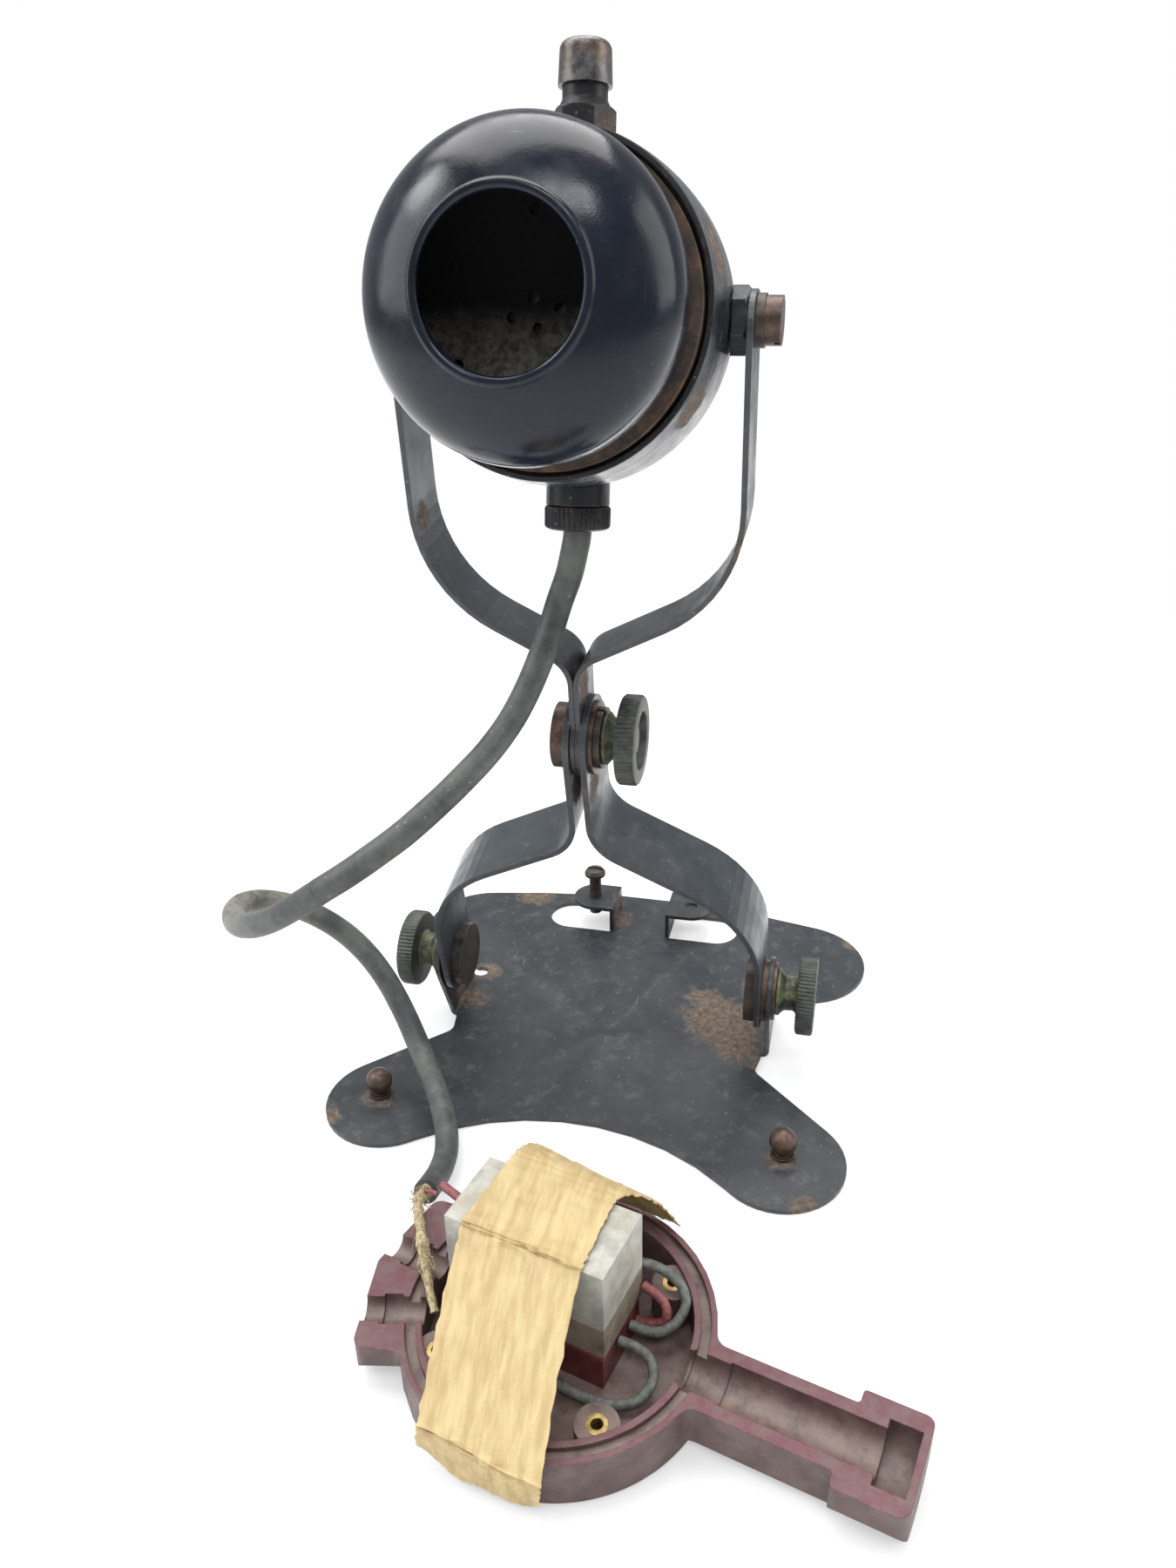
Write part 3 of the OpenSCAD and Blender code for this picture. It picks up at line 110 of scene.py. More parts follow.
class Finish:
    """A material built from nodes. Every method returns the output that it made."""

    def __init__(self, name, rough=0.5, metallic=0.0):
        self.material = bpy.data.materials.new("look_" + name)
        self.material.use_nodes = True
        self.tree = self.material.node_tree
        self.shader = self.tree.nodes["Principled BSDF"]
        self.place = self.add("ShaderNodeTexCoord").outputs["Object"]
        self.normal = None
        self.shader.inputs["Roughness"].default_value = rough
        self.shader.inputs["Metallic"].default_value = metallic

    def add(self, kind, inputs=None, **settings):
        node = self.tree.nodes.new(kind)
        for key, value in settings.items():
            setattr(node, key, value)
        for key, value in (inputs or {}).items():
            self.feed(node.inputs[key], value)
        return node

    def feed(self, socket, value):
        if isinstance(value, bpy.types.NodeSocket):
            self.tree.links.new(value, socket)
        elif hasattr(value, "__len__") and len(value) == 3 and socket.type == "RGBA":
            socket.default_value = (*value, 1)
        else:
            socket.default_value = value

    def sized(self, mm, stretch=(1, 1, 1)):
        """Coordinates in which one unit is mm long, longer along a stretched axis."""
        scale = [1 / (mm * MM * s) for s in stretch]
        return self.add("ShaderNodeMapping", {"Vector": self.place, "Scale": scale}
                        ).outputs["Vector"]

    def noise(self, mm, detail=3, rough=0.5, stretch=(1, 1, 1), warp=0.0):
        return self.add("ShaderNodeTexNoise", {
            "Vector": self.sized(mm, stretch), "Scale": 1.0, "Detail": detail,
            "Roughness": rough, "Distortion": warp}).outputs["Fac"]

    def cells(self, mm):
        return self.add("ShaderNodeTexVoronoi", {
            "Vector": self.sized(mm), "Scale": 1.0}, feature="F1").outputs["Distance"]

    def levels(self, value, low, high, to_low=0.0, to_high=1.0):
        return self.add("ShaderNodeMapRange", {
            "Value": value, "From Min": low, "From Max": high, "To Min": to_low,
            "To Max": to_high}, interpolation_type="SMOOTHSTEP").outputs["Result"]

    def maths(self, operation, a, b=0.0):
        return self.add("ShaderNodeMath", {0: a, 1: b}, operation=operation).outputs[0]

    def times(self, *values):
        out = values[0]
        for value in values[1:]:
            out = self.maths("MULTIPLY", out, value)
        return out

    def most(self, *values):
        out = values[0]
        for value in values[1:]:
            out = self.maths("MAXIMUM", out, value)
        return out

    def mix(self, share, a, b):
        node = self.add("ShaderNodeMix", data_type="RGBA")
        self.feed(node.inputs[0], share)
        self.feed(node.inputs[6], a)
        self.feed(node.inputs[7], b)
        return node.outputs[2]

    def blend(self, share, a, b):
        node = self.add("ShaderNodeMix", data_type="FLOAT")
        self.feed(node.inputs[0], share)
        self.feed(node.inputs[2], a)
        self.feed(node.inputs[3], b)
        return node.outputs[0]

    def axis(self, name):
        node = self.add("ShaderNodeSeparateXYZ", {0: self.place})
        return self.maths("MULTIPLY", node.outputs[name], 1 / MM)

    def facing(self, name):
        node = self.add("ShaderNodeSeparateXYZ",
                        {0: self.add("ShaderNodeNewGeometry").outputs["Normal"]})
        return node.outputs[name]

    def edges(self, mm):
        """1 along sharp edges, and 0 on flat or gently curved faces."""
        flat = self.add("ShaderNodeNewGeometry").outputs["Normal"]
        soft = self.add("ShaderNodeBevel", {"Radius": mm * MM}, samples=4).outputs["Normal"]
        same = self.add("ShaderNodeVectorMath", {0: flat, 1: soft}, operation="DOT_PRODUCT")
        return self.levels(self.maths("SUBTRACT", 1.0, same.outputs["Value"]), 0.02, 0.3)

    def patch(self, middle, radius):
        """A stain round a place in millimetres, with a ragged border."""
        gap = self.add("ShaderNodeVectorMath", {
            0: self.place, 1: [c * MM for c in middle]}, operation="DISTANCE")
        reach = self.maths("MULTIPLY", gap.outputs["Value"], 1 / (radius * MM))
        rag = self.times(self.maths("SUBTRACT", self.noise(2.5, 5, 0.65), 0.5), 1.6)
        return self.levels(self.maths("ADD", reach, rag), 1.15, 0.6)

    def rounded(self, mm):
        """Shades sharp edges as if they were rounded."""
        self.normal = self.add("ShaderNodeBevel", {"Radius": mm * MM}, samples=4
                               ).outputs["Normal"]

    def bump(self, height, mm):
        node = self.add("ShaderNodeBump", {"Height": height, "Distance": mm * MM})
        if self.normal is not None:
            self.feed(node.inputs["Normal"], self.normal)
        self.normal = node.outputs["Normal"]

    def done(self, colour, rough=None):
        self.feed(self.shader.inputs["Base Color"], colour)
        if rough is not None:
            self.feed(self.shader.inputs["Roughness"], rough)
        if self.normal is not None:
            self.feed(self.shader.inputs["Normal"], self.normal)
        return self.material


def enamel(name, dark, pale, rough, rust=(), dust=0.5, scratch=0.5, wear=0.6):
    """Old black paint on steel: cloudy, dusty and scratched, rubbed brown on its edges."""
    f = Finish(name)
    f.rounded(0.35)
    cloud = f.noise(22, 5, 0.6)
    colour = f.mix(f.levels(cloud, 0.35, 0.7), dark, pale)
    film = f.times(f.levels(f.noise(4, 6, 0.7), 0.5, 0.75), dust)
    colour = f.mix(f.times(film, 0.5), colour, (0.16, 0.15, 0.13))
    lines = f.levels(f.noise(0.5, 2, 0.6, (1, 26, 26), 0.4), 0.7, 0.78)
    lines = f.most(lines, f.levels(f.noise(0.45, 2, 0.6, (30, 1, 20), 0.6), 0.71, 0.79))
    lines = f.times(lines, f.levels(f.noise(16, 3), 0.5, 0.62), scratch)
    colour = f.mix(lines, colour, (0.3, 0.29, 0.27))
    specks = f.times(f.levels(f.cells(2.6), 0.13, 0.07), f.levels(f.noise(7, 2), 0.48, 0.6))
    colour = f.mix(f.times(specks, 0.5 * dust), colour, (0.4, 0.37, 0.32))
    rubbed = f.times(f.edges(0.5), f.levels(f.noise(3.2, 5, 0.7), 0.62 - 0.3 * wear, 0.62))
    colour = f.mix(f.times(rubbed, 0.9), colour, (0.12, 0.07, 0.04))
    stain = None
    for middle, radius in rust:
        spot = f.patch(middle, radius)
        stain = spot if stain is None else f.most(stain, spot)
    finish = f.blend(f.levels(f.noise(9, 4, 0.6), 0.35, 0.7), rough - 0.07, rough + 0.09)
    if stain is not None:
        grain = f.mix(f.levels(f.noise(1.6, 5, 0.7), 0.3, 0.7), (0.05, 0.04, 0.033),
                      (0.17, 0.125, 0.09))
        grain = f.mix(f.levels(f.noise(1.3, 4, 0.7), 0.6, 0.68), grain, (0.42, 0.18, 0.06))
        colour = f.mix(f.times(stain, 0.85), colour, grain)
        finish = f.blend(stain, finish, 0.9)
    f.bump(f.noise(0.5, 3, 0.6), 0.02)
    f.bump(f.noise(14, 2), 0.12)
    return f.done(colour, finish)


def old_metal(name, dark, pale, rough=0.42, metallic=0.75, tint=None, tint_share=0.6,
              grain=1.2, edge=None):
    """Bare metal gone dark: mottled, with a second colour in its stains and bright edges."""
    f = Finish(name, metallic=metallic)
    f.rounded(0.25)
    mottle = f.noise(grain * 2.5, 6, 0.65)
    colour = f.mix(f.levels(mottle, 0.32, 0.68), dark, pale)
    if tint is not None:
        stain = f.times(f.levels(f.noise(grain * 4, 5, 0.7, warp=0.5), 0.45, 0.66), tint_share)
        colour = f.mix(stain, colour, tint)
    if edge is not None:
        rub = f.times(f.edges(0.35), f.levels(f.noise(2.2, 4, 0.7), 0.36, 0.6))
        colour = f.mix(rub, colour, edge)
    f.bump(f.noise(grain * 0.4, 4, 0.6), 0.025)
    return f.done(colour, f.blend(mottle, rough - 0.12, rough + 0.16))


def moulding():
    """Dark maroon moulding: worn purple on top, grey-brown dust below, chipped edges."""
    f = Finish("case_moulding")
    f.rounded(0.4)
    height = f.axis("Z")
    top = f.levels(height, RIM_Z - 0.35, RIM_Z - 0.1)
    body = f.mix(f.levels(f.noise(7, 5, 0.65), 0.35, 0.7), (0.065, 0.034, 0.032),
                 (0.12, 0.078, 0.068))
    rim = f.mix(f.levels(f.noise(3, 5, 0.7), 0.35, 0.65), (0.12, 0.03, 0.042),
                (0.13, 0.068, 0.07))
    colour = f.mix(f.times(top, 0.85), body, rim)
    up = f.levels(f.facing("Z"), 0.3, 0.95)
    dust = f.times(up, f.maths("SUBTRACT", 1.0, top), f.levels(f.noise(5, 6, 0.7), 0.3, 0.62))
    colour = f.mix(f.times(dust, 0.7), colour, (0.2, 0.145, 0.125))
    chips = f.times(f.edges(0.7), f.levels(f.noise(2.4, 5, 0.75), 0.52, 0.6))
    colour = f.mix(f.times(chips, 0.75), colour, (0.27, 0.15, 0.1))
    film = f.levels(f.noise(0.7, 4, 0.75), 0.58, 0.75)
    colour = f.mix(f.times(film, 0.25), colour, (0.3, 0.24, 0.2))
    f.bump(f.noise(0.35, 3, 0.6), 0.015)
    f.bump(f.noise(6, 3), 0.08)
    return f.done(colour, f.blend(f.noise(4, 4), 0.34, 0.6))


def tape_finish():
    """Crinkled masking tape: streaked tan, with painted shade in its creases."""
    f = Finish("masking_tape", rough=0.75)
    streak = f.noise(2.0, 5, 0.6, (1, 7, 4))
    colour = f.mix(f.levels(streak, 0.3, 0.72), (0.42, 0.3, 0.135), (0.57, 0.445, 0.23))
    blotch = f.levels(f.noise(15, 4, 0.6), 0.5, 0.72)
    colour = f.mix(f.times(blotch, 0.45), colour, (0.42, 0.29, 0.12))
    fine = f.noise(0.35, 3, 0.6, (6, 1, 1))
    # Painted shade: the tape is darkened where the fine crinkle noise, also used for the bump,
    # is high.
    colour = f.mix(f.times(f.levels(fine, 0.56, 0.72), 0.22), colour, (0.3, 0.2, 0.08))
    f.bump(fine, 0.06)
    f.bump(f.noise(1.6, 4, 0.6, (1, 5, 4)), 0.25)
    return f.done(colour, f.blend(streak, 0.5, 0.72))


def rubber_finish():
    """Old rubber: matt grey-green, dusty, palest where the lead turns back."""
    f = Finish("rubber", rough=0.6)
    cloud = f.noise(9, 6, 0.68)
    colour = f.mix(f.levels(cloud, 0.34, 0.68), (0.03, 0.035, 0.034), (0.085, 0.09, 0.082))
    bend = f.times(f.levels(f.axis("X"), -70.0, -84.0), f.levels(f.noise(3, 5, 0.7), 0.3, 0.6))
    colour = f.mix(f.times(bend, 0.75), colour, (0.2, 0.185, 0.15))
    specks = f.times(f.levels(f.cells(1.7), 0.16, 0.08), f.levels(f.noise(8, 3), 0.5, 0.62))
    colour = f.mix(f.times(specks, 0.5), colour, (0.4, 0.36, 0.28))
    f.bump(f.noise(1.3, 5, 0.7), 0.05)
    return f.done(colour, f.blend(cloud, 0.42, 0.66))


def flat_finish(name, dark, pale, rough, mm=2.0):
    """A plain material with two close colours and a fine grain."""
    f = Finish(name)
    f.rounded(0.2)
    cloud = f.noise(mm, 5, 0.65)
    f.bump(f.noise(mm * 0.2, 3, 0.6), 0.03)
    return f.done(f.mix(f.levels(cloud, 0.33, 0.68), dark, pale),
                  f.blend(cloud, rough - 0.06, rough + 0.08))


def capsule_finish():
    """Grey fibre disc, with painted shade that makes it near black above its middle, and its
    grain painted as lit below.
    """
    f = Finish("capsule_fibre")
    grain = f.levels(f.noise(1.6, 5, 0.65), 0.33, 0.68)
    # Painted shade: the disc fades to near black upwards from a little below the head's middle,
    # along a ragged border; below that it shows its grain as if lit.
    height = f.maths("ADD", f.axis("Z"), f.times(f.noise(6, 3), 3.0))
    low = f.levels(height, head_at[2] + 7, head_at[2] - 2)
    lit_fibre_grain = f.mix(grain, (0.12, 0.108, 0.092), (0.36, 0.33, 0.28))
    f.bump(f.noise(0.4, 3, 0.6), 0.12)
    return f.done(f.mix(low, (0.008, 0.008, 0.01), lit_fibre_grain), 0.85)


# Places of rust and dust on the plate, each with its radius
PLATE_RUST = [((33, 12, 1), 12), ((39, 2, 1), 8), ((27, 22, 1), 6), ((44, 19, 3), 4),
              ((-40, 70, 1), 7), ((-44, 22, 2), 5), ((-44, 8, 4), 6), ((-9, 60, 4), 6),
              ((71, 62, 1), 5), ((-55, -40, 1), 4.5), ((55, -40, 1), 4.5), ((46, -4, 1), 4),
              ((17, 66, 1), 4), ((-66, -50, 1), 4), ((62, -55, 1), 4), ((44, 30, 1), 7)]
STRAP_RUST = [((38, -27, 158), 5), ((-35, -26, 160), 4), ((2, -22, 122), 5), ((-3, -20, 118), 5),
              ((0, -20, 94), 6), ((44, 0, 24), 8), ((-44, 0, 24), 7), ((30, -14, 68), 3),
              ((-26, -14, 72), 3)]
HEAD_RUST = [((head_at[0] + 29, head_at[1] - 10, head_at[2] + 12), 6),
             ((head_at[0] + 6, head_at[1] + 12, head_at[2] + 31), 6),
             ((head_at[0] + 27, head_at[1] - 16, head_at[2] - 14), 5)]

plate_paint = enamel("plate_enamel", (0.016, 0.02, 0.024), (0.03, 0.034, 0.038), 0.4,
                     rust=PLATE_RUST, dust=0.6, scratch=0.7)
strap_paint = enamel("strap_enamel", (0.02, 0.026, 0.033), (0.034, 0.041, 0.048), 0.36,
                     rust=STRAP_RUST, dust=0.5, scratch=0.4, wear=0.9)
hood_paint = enamel("hood_enamel", (0.002, 0.0038, 0.0095), (0.0045, 0.0078, 0.0165), 0.2,
                    dust=0.1, scratch=0.2, wear=0.1)
shell_paint = enamel("shell_enamel", (0.006, 0.008, 0.012), (0.012, 0.015, 0.02), 0.27,
                     rust=HEAD_RUST, dust=0.6, scratch=0.5, wear=0.7)
fitting_paint = enamel("fitting_enamel", (0.005, 0.006, 0.008), (0.014, 0.014, 0.015), 0.38,
                       rust=HEAD_RUST, dust=0.4, scratch=0.2, wear=0.8)
for paint in (hood_paint, fitting_paint):
    paint.node_tree.nodes["Principled BSDF"].inputs["Specular IOR Level"].default_value = 0.3
nut_metal = old_metal("blackened_nut", (0.03, 0.034, 0.033), (0.085, 0.088, 0.08), 0.5, 0.5,
                      tint=(0.08, 0.09, 0.055), tint_share=0.25, edge=(0.17, 0.17, 0.155))
dark_steel = old_metal("blackened_steel", (0.022, 0.022, 0.022), (0.07, 0.06, 0.05), 0.45, 0.5,
                       tint=(0.09, 0.05, 0.03), edge=(0.17, 0.12, 0.08))
brown_metal = old_metal("brown_metal", (0.045, 0.033, 0.027), (0.13, 0.08, 0.06), 0.42, 0.6,
                        tint=(0.05, 0.038, 0.033), edge=(0.27, 0.19, 0.14))
rusty_metal = old_metal("rusty_metal", (0.016, 0.015, 0.015), (0.13, 0.07, 0.04), 0.7, 0.1,
                        tint=(0.03, 0.024, 0.02), tint_share=0.8, grain=2)
button_metal = old_metal("button_metal", (0.045, 0.045, 0.05), (0.15, 0.14, 0.135), 0.34, 0.75,
                         tint=(0.2, 0.13, 0.08), tint_share=0.45, edge=(0.4, 0.3, 0.2))
green_metal = old_metal("green_metal", (0.035, 0.035, 0.03), (0.14, 0.14, 0.1), 0.6, 0.35,
                        tint=(0.22, 0.3, 0.13), tint_share=0.7)
brass = old_metal("aged_brass", (0.3, 0.2, 0.07), (0.62, 0.47, 0.2), 0.34, 0.9,
                  tint=(0.2, 0.12, 0.05), tint_share=0.4, grain=0.8)
spring_metal = old_metal("spring_steel", (0.25, 0.25, 0.25), (0.5, 0.5, 0.48), 0.35, 0.9)
can_lid_metal = old_metal("can_lid", (0.33, 0.32, 0.28), (0.55, 0.54, 0.48), 0.48, 0.35,
                          tint=(0.3, 0.25, 0.17), tint_share=0.4, grain=3)
can_base_metal = old_metal("can_base", (0.16, 0.125, 0.09), (0.3, 0.25, 0.19), 0.5, 0.3,
                           tint=(0.4, 0.37, 0.3), tint_share=0.5, grain=3)
case_plastic = moulding()
masking = tape_finish()
rubber = rubber_finish()
cradle_red = flat_finish("cradle_red", (0.075, 0.012, 0.014), (0.13, 0.03, 0.03), 0.35, 3)
face_fibre = capsule_finish()
carbon = flat_finish("carbon", (0.012, 0.012, 0.012), (0.03, 0.03, 0.03), 0.6)
brown_plastic = flat_finish("brown_moulding", (0.09, 0.04, 0.025), (0.14, 0.07, 0.04), 0.4)
paper = flat_finish("waxed_paper", (0.4, 0.32, 0.16), (0.55, 0.46, 0.26), 0.6)
red_wire = flat_finish("red_insulation", (0.16, 0.04, 0.045), (0.3, 0.1, 0.095), 0.55, 1.5)
grey_wire = flat_finish("grey_insulation", (0.07, 0.075, 0.065), (0.16, 0.165, 0.145), 0.6, 1.5)
braid_thread = flat_finish("frayed_braid", (0.25, 0.19, 0.1), (0.52, 0.44, 0.27), 0.9, 0.8)

NODE_FINISH = {
    "breast_plate": plate_paint, "strap_studs": brown_metal, "tab_screw": dark_steel,
    "hinge_bolt_left": dark_steel, "hinge_bolt_right": dark_steel,
    "hinge_washers": brown_metal, "thumb_nut_left": nut_metal, "thumb_nut_right": nut_metal,
    "thumb_nut_middle": nut_metal, "case_half": case_plastic, "case_inserts": brass,
    "can_base": can_base_metal, "can_lid": can_lid_metal, "condenser_roll": paper,
    "cradle": cradle_red, "tape_band": masking, "red_wire": red_wire, "line_wire": red_wire,
    "green_wire": grey_wire, "grey_wire": grey_wire, "braided_core": braid_thread,
    "lower_arm_left": strap_paint, "lower_arm_right": strap_paint,
    "upper_arm_left": strap_paint, "upper_arm_right": strap_paint,
    "clamp_bolt": brown_metal, "clamp_washer": brown_metal, "clamp_spring_washer": dark_steel,
    "rear_shell": shell_paint, "seam_ring": rusty_metal, "front_hood": hood_paint,
    "capsule_case": brass, "capsule_face": face_fibre, "diaphragm": spring_metal,
    "carbon_chamber": carbon, "terminal_block": brown_plastic, "terminal_screws": brass,
    "capsule_spring": spring_metal, "pivot_boss_left": shell_paint,
    "pivot_boss_right": shell_paint, "pivot_screws": brown_metal, "pivot_washers": dark_steel,
    "button_bush": fitting_paint, "switch_block": brown_plastic, "switch_blades": brass,
    "button_spring": spring_metal, "top_button": button_metal, "cable_gland": fitting_paint,
    "gland_nut": fitting_paint, "inner_wires": red_wire, "lead_upper": rubber,
    "lead_middle": rubber, "lead_lower": rubber}
for node_name, material in NODE_FINISH.items():
    nodes[node_name].data.materials.clear()
    nodes[node_name].data.materials.append(material)


# Helpers that make meshes

def piece(name, bm, material, body, matrix=None, sharp=35, replaces=()):
    """Turns a bmesh into a piece that rides on a body, smooth but for its sharp edges."""
    if matrix is not None:
        bm.transform(matrix)
    bmesh.ops.recalc_face_normals(bm, faces=bm.faces)
    for face in bm.faces:
        face.smooth = True
    for edge in bm.edges:
        edge.smooth = edge.calc_face_angle(0) < math.radians(sharp)
    mesh = bpy.data.meshes.new(name)
    bm.to_mesh(mesh)
    bm.free()
    obj = bpy.data.objects.new(name, mesh)
    bpy.context.scene.collection.objects.link(obj)
    mesh.materials.append(material)
    if body is not None:
        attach(obj, body)
    if replaces:
        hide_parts(*replaces)
    return obj


def turned(bm, profile, steps, flutes=0, depth=0.0, fluted=()):
    """Turns a profile of (radius, height) in mm round Z. Fluted points get straight grooves."""
    rings = []
    for k, (r, z) in enumerate(profile):
        ring = []
        for i in range(steps):
            a = 2 * math.pi * i / steps
            rr = r
            if k in fluted:
                rr -= depth * (0.5 + 0.5 * math.cos(flutes * a)) ** 1.5
            ring.append(bm.verts.new((rr * math.cos(a) * MM, rr * math.sin(a) * MM, z * MM)))
        rings.append(ring)
    for low, high in zip(rings, rings[1:] + rings[:1]):
        for i in range(steps):
            j = (i + 1) % steps
            bm.faces.new((low[i], low[j], high[j], high[i]))


def smooth_route(points, per):
    """A curve through given points, in metres."""
    p = [Vector(q) * MM for q in points]
    p = [2 * p[0] - p[1]] + p + [2 * p[-1] - p[-2]]
    out = []
    for i in range(1, len(p) - 2):
        for k in range(per):
            t = k / per
            out.append(0.5 * (2 * p[i] + (p[i + 1] - p[i - 1]) * t
                              + (2 * p[i - 1] - 5 * p[i] + 4 * p[i + 1] - p[i + 2]) * t * t
                              + (3 * p[i] - p[i - 1] - 3 * p[i + 1] + p[i + 2]) * t ** 3))
    out.append(p[-2])
    return out


def carried_frames(route):
    """Two directions square to the route at each of its points, without twist."""
    frames = []
    side = None
    for i in range(len(route)):
        ahead = (route[min(i + 1, len(route) - 1)] - route[max(i - 1, 0)]).normalized()
        if side is None:
            side = ahead.orthogonal()
        side = (side - ahead * side.dot(ahead)).normalized()
        frames.append((side.copy(), ahead.cross(side)))
    return frames


def tube(bm, route, radius, sides, swell=None):
    """Sweeps a round section along a route. swell(i, angle) gives a share to add."""
    rings = []
    for i, (u, v) in enumerate(carried_frames(route)):
        ring = []
        for k in range(sides):
            a = 2 * math.pi * k / sides
            r = radius * (1 + (swell(i, a) if swell else 0))
            ring.append(bm.verts.new(route[i] + r * MM * (math.cos(a) * u + math.sin(a) * v)))
        rings.append(ring)
    for low, high in zip(rings, rings[1:]):
        for k in range(sides):
            j = (k + 1) % sides
            bm.faces.new((low[k], low[j], high[j], high[k]))
    bm.faces.new(rings[0])
    bm.faces.new(rings[-1])


# The rubber lead, in three lengths

# Heights on the stem's own axis: the lead's points inside the gland, and the nut's lower face
GLAND_ROUTE_Z = (-33.5, -39.5, -42.5)
GLAND_NUT_Z = -41.5
LEAD_STEPS = 4


def gland_point(z):
    return stem_frame @ Vector((0, 0, z * MM))


def lead_piece(name, route, node):
    bm = bmesh.new()
    tube(bm, route, LEAD_R, 24,
         lambda i, a: 0.012 * noise.noise(Vector((i * 0.35, math.cos(a), math.sin(a)))))
    obj = piece(name, bm, rubber, None, replaces=(node,))
    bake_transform(obj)
    return obj


upper_start = [tuple(gland_point(z) / MM) for z in GLAND_ROUTE_Z]
lead_points = upper_start + LEAD_UPPER + LEAD_MIDDLE[1:] + LEAD_LOWER[1:]
whole_route = smooth_route(lead_points, LEAD_STEPS)
first = (len(upper_start) + len(LEAD_UPPER) - 1) * LEAD_STEPS
second = first + (len(LEAD_MIDDLE) - 1) * LEAD_STEPS
routes = [whole_route[:first + 1], whole_route[first:second + 1], whole_route[second:]]
lead_piece("rubber_lead_upper", routes[0], "lead_upper")
lead_piece("rubber_lead_middle", routes[1], "lead_middle")
lead_piece("rubber_lead_lower", routes[2], "lead_lower")


# Turned pieces

NUT_LEN = 10.7
MID_NUT_LEN = 8.9
NUT_DISC_T = 5
NUT_CUP_DEPTH = 2.2
NUT_BORE_R = 3.1
NUT_FLUTES = 64
GLAND_BORE_R = 3.12
GLAND_FLUTES = 40
STEPS_PER_FLUTE = 4


def thumb_nut(name, node, length, body, matrix):
    """A knurled disc with a dished face, and its smooth green neck as a second piece."""
    disc, cup = length - NUT_DISC_T, length - NUT_CUP_DEPTH
    bm = bmesh.new()
    turned(bm, [(4.2, disc - 0.4), (5.8, disc), (9.9, disc), (10.6, disc + 0.2),
                (NUT_R, disc + 0.7), (NUT_R, length - 0.7), (10.6, length - 0.2),
                (10, length), (7.4, length), (7.05, length - 0.25), (6.7, cup + 0.3),
                (6.2, cup), (NUT_BORE_R, cup), (NUT_BORE_R, disc - 0.4)],
           STEPS_PER_FLUTE * NUT_FLUTES, flutes=NUT_FLUTES, depth=0.45, fluted=(4, 5))
    piece(name, bm, nut_metal, body, matrix, replaces=(node,))
    bm = bmesh.new()
    turned(bm, [(NUT_BORE_R, 0), (6.3, 0), (6.5, 0.2), (6.5, 0.9), (5.6, 1.6), (4.9, 2.4),
                (4.75, disc - 1), (5.3, disc - 0.3), (5.8, disc + 0.05),
                (NUT_BORE_R, disc + 0.05)], 64)
    piece(name + "_neck", bm, green_metal, body, matrix)


def beside(middle, x):
    return middle @ Matrix.Translation((x * MM, 0, 0)) @ (along_x if x > 0 else against_x)


thumb_nut("knurled_nut_right", "thumb_nut_right", NUT_LEN, "right_nut",
          beside(hinge_frame, NUT_X))
thumb_nut("knurled_nut_left", "thumb_nut_left", NUT_LEN, "left_nut",
          beside(hinge_frame, -NUT_X))
thumb_nut("knurled_nut_middle", "thumb_nut_middle", MID_NUT_LEN, "middle_nut",
          beside(clamp_frame, MID_NUT_X))

bm = bmesh.new()
turned(bm, [(GLAND_BORE_R, 0), (6.1, 0), (6.8, 0.35), (7.1, 0.8), (7.1, 4.4), (6.8, 4.9),
            (6.2, 5.2), (GLAND_BORE_R, 5.2)],
       STEPS_PER_FLUTE * GLAND_FLUTES, flutes=GLAND_FLUTES, depth=0.4, fluted=(3, 4))
piece("knurled_gland_nut", bm, fitting_paint, "head",
      stem_frame @ Matrix.Translation((0, 0, GLAND_NUT_Z * MM)), replaces=("gland_nut",))

# Button spring between the bush and the cap
SPRING_Z, SPRING_LEN, SPRING_TURNS = 46.45, 2.0, 3
SPRING_R, SPRING_WIRE_R, SPRING_STEPS = 2.6, 0.28, 24
coil = []
for i in range(SPRING_TURNS * SPRING_STEPS + 1):
    angle = 2 * math.pi * i / SPRING_STEPS
    height = SPRING_Z + SPRING_LEN * i / (SPRING_TURNS * SPRING_STEPS)
    coil.append(stem_frame @ (Vector((SPRING_R * math.cos(angle), SPRING_R * math.sin(angle),
                                      height)) * MM))
bm = bmesh.new()
tube(bm, coil, SPRING_WIRE_R, 8)
spring = piece("coiled_button_spring", bm, spring_metal, "head", replaces=("button_spring",))
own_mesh(spring)

# The hood's outline is part of two ellipses of radius HOOD_R, whose middle lies HOOD_Q in front
# of the head's axis. They reach HOOD_A forward and HOOD_BACK_A back.
HOOD_R, HOOD_Q, HOOD_A, HOOD_BACK_A, HOOD_BACK_Q = 28.4, 35.5, 15.9, 46, 21.7
BEAD_R, BEAD_Q = 14.9, 48.52
SHEET_T = 1
BEAD_START, BEAD_STEP = 10.5, 12.5


def hood_curve(cut, front_end, steps=48):
    """Outline of the hood's sheet from its rear edge to the bead, cut mm inside its face."""
    back = -math.asin((HOOD_Q - HOOD_BACK_Q) / (HOOD_BACK_A - cut))
    points = []
    for i in range(steps + 1):
        t = back + (math.radians(front_end) - back) * i / steps
        reach = (HOOD_A if t > 0 else HOOD_BACK_A) - cut
        points.append(((HOOD_R - cut) * math.cos(t), HOOD_Q + reach * math.sin(t)))
    return points


bead = []
for i in range(1, 24):
    angle = math.radians(BEAD_START + BEAD_STEP * i)
    bead.append((BEAD_R + math.cos(angle), BEAD_Q + math.sin(angle)))
bm = bmesh.new()
turned(bm, hood_curve(0, 56) + bead + hood_curve(SHEET_T, 55.4)[::-1], 144)
piece("hood_sheet", bm, hood_paint, "head", head_frame @ along_mouth, replaces=("front_hood",))


# Wires and braid

WIRE_R = 1.1


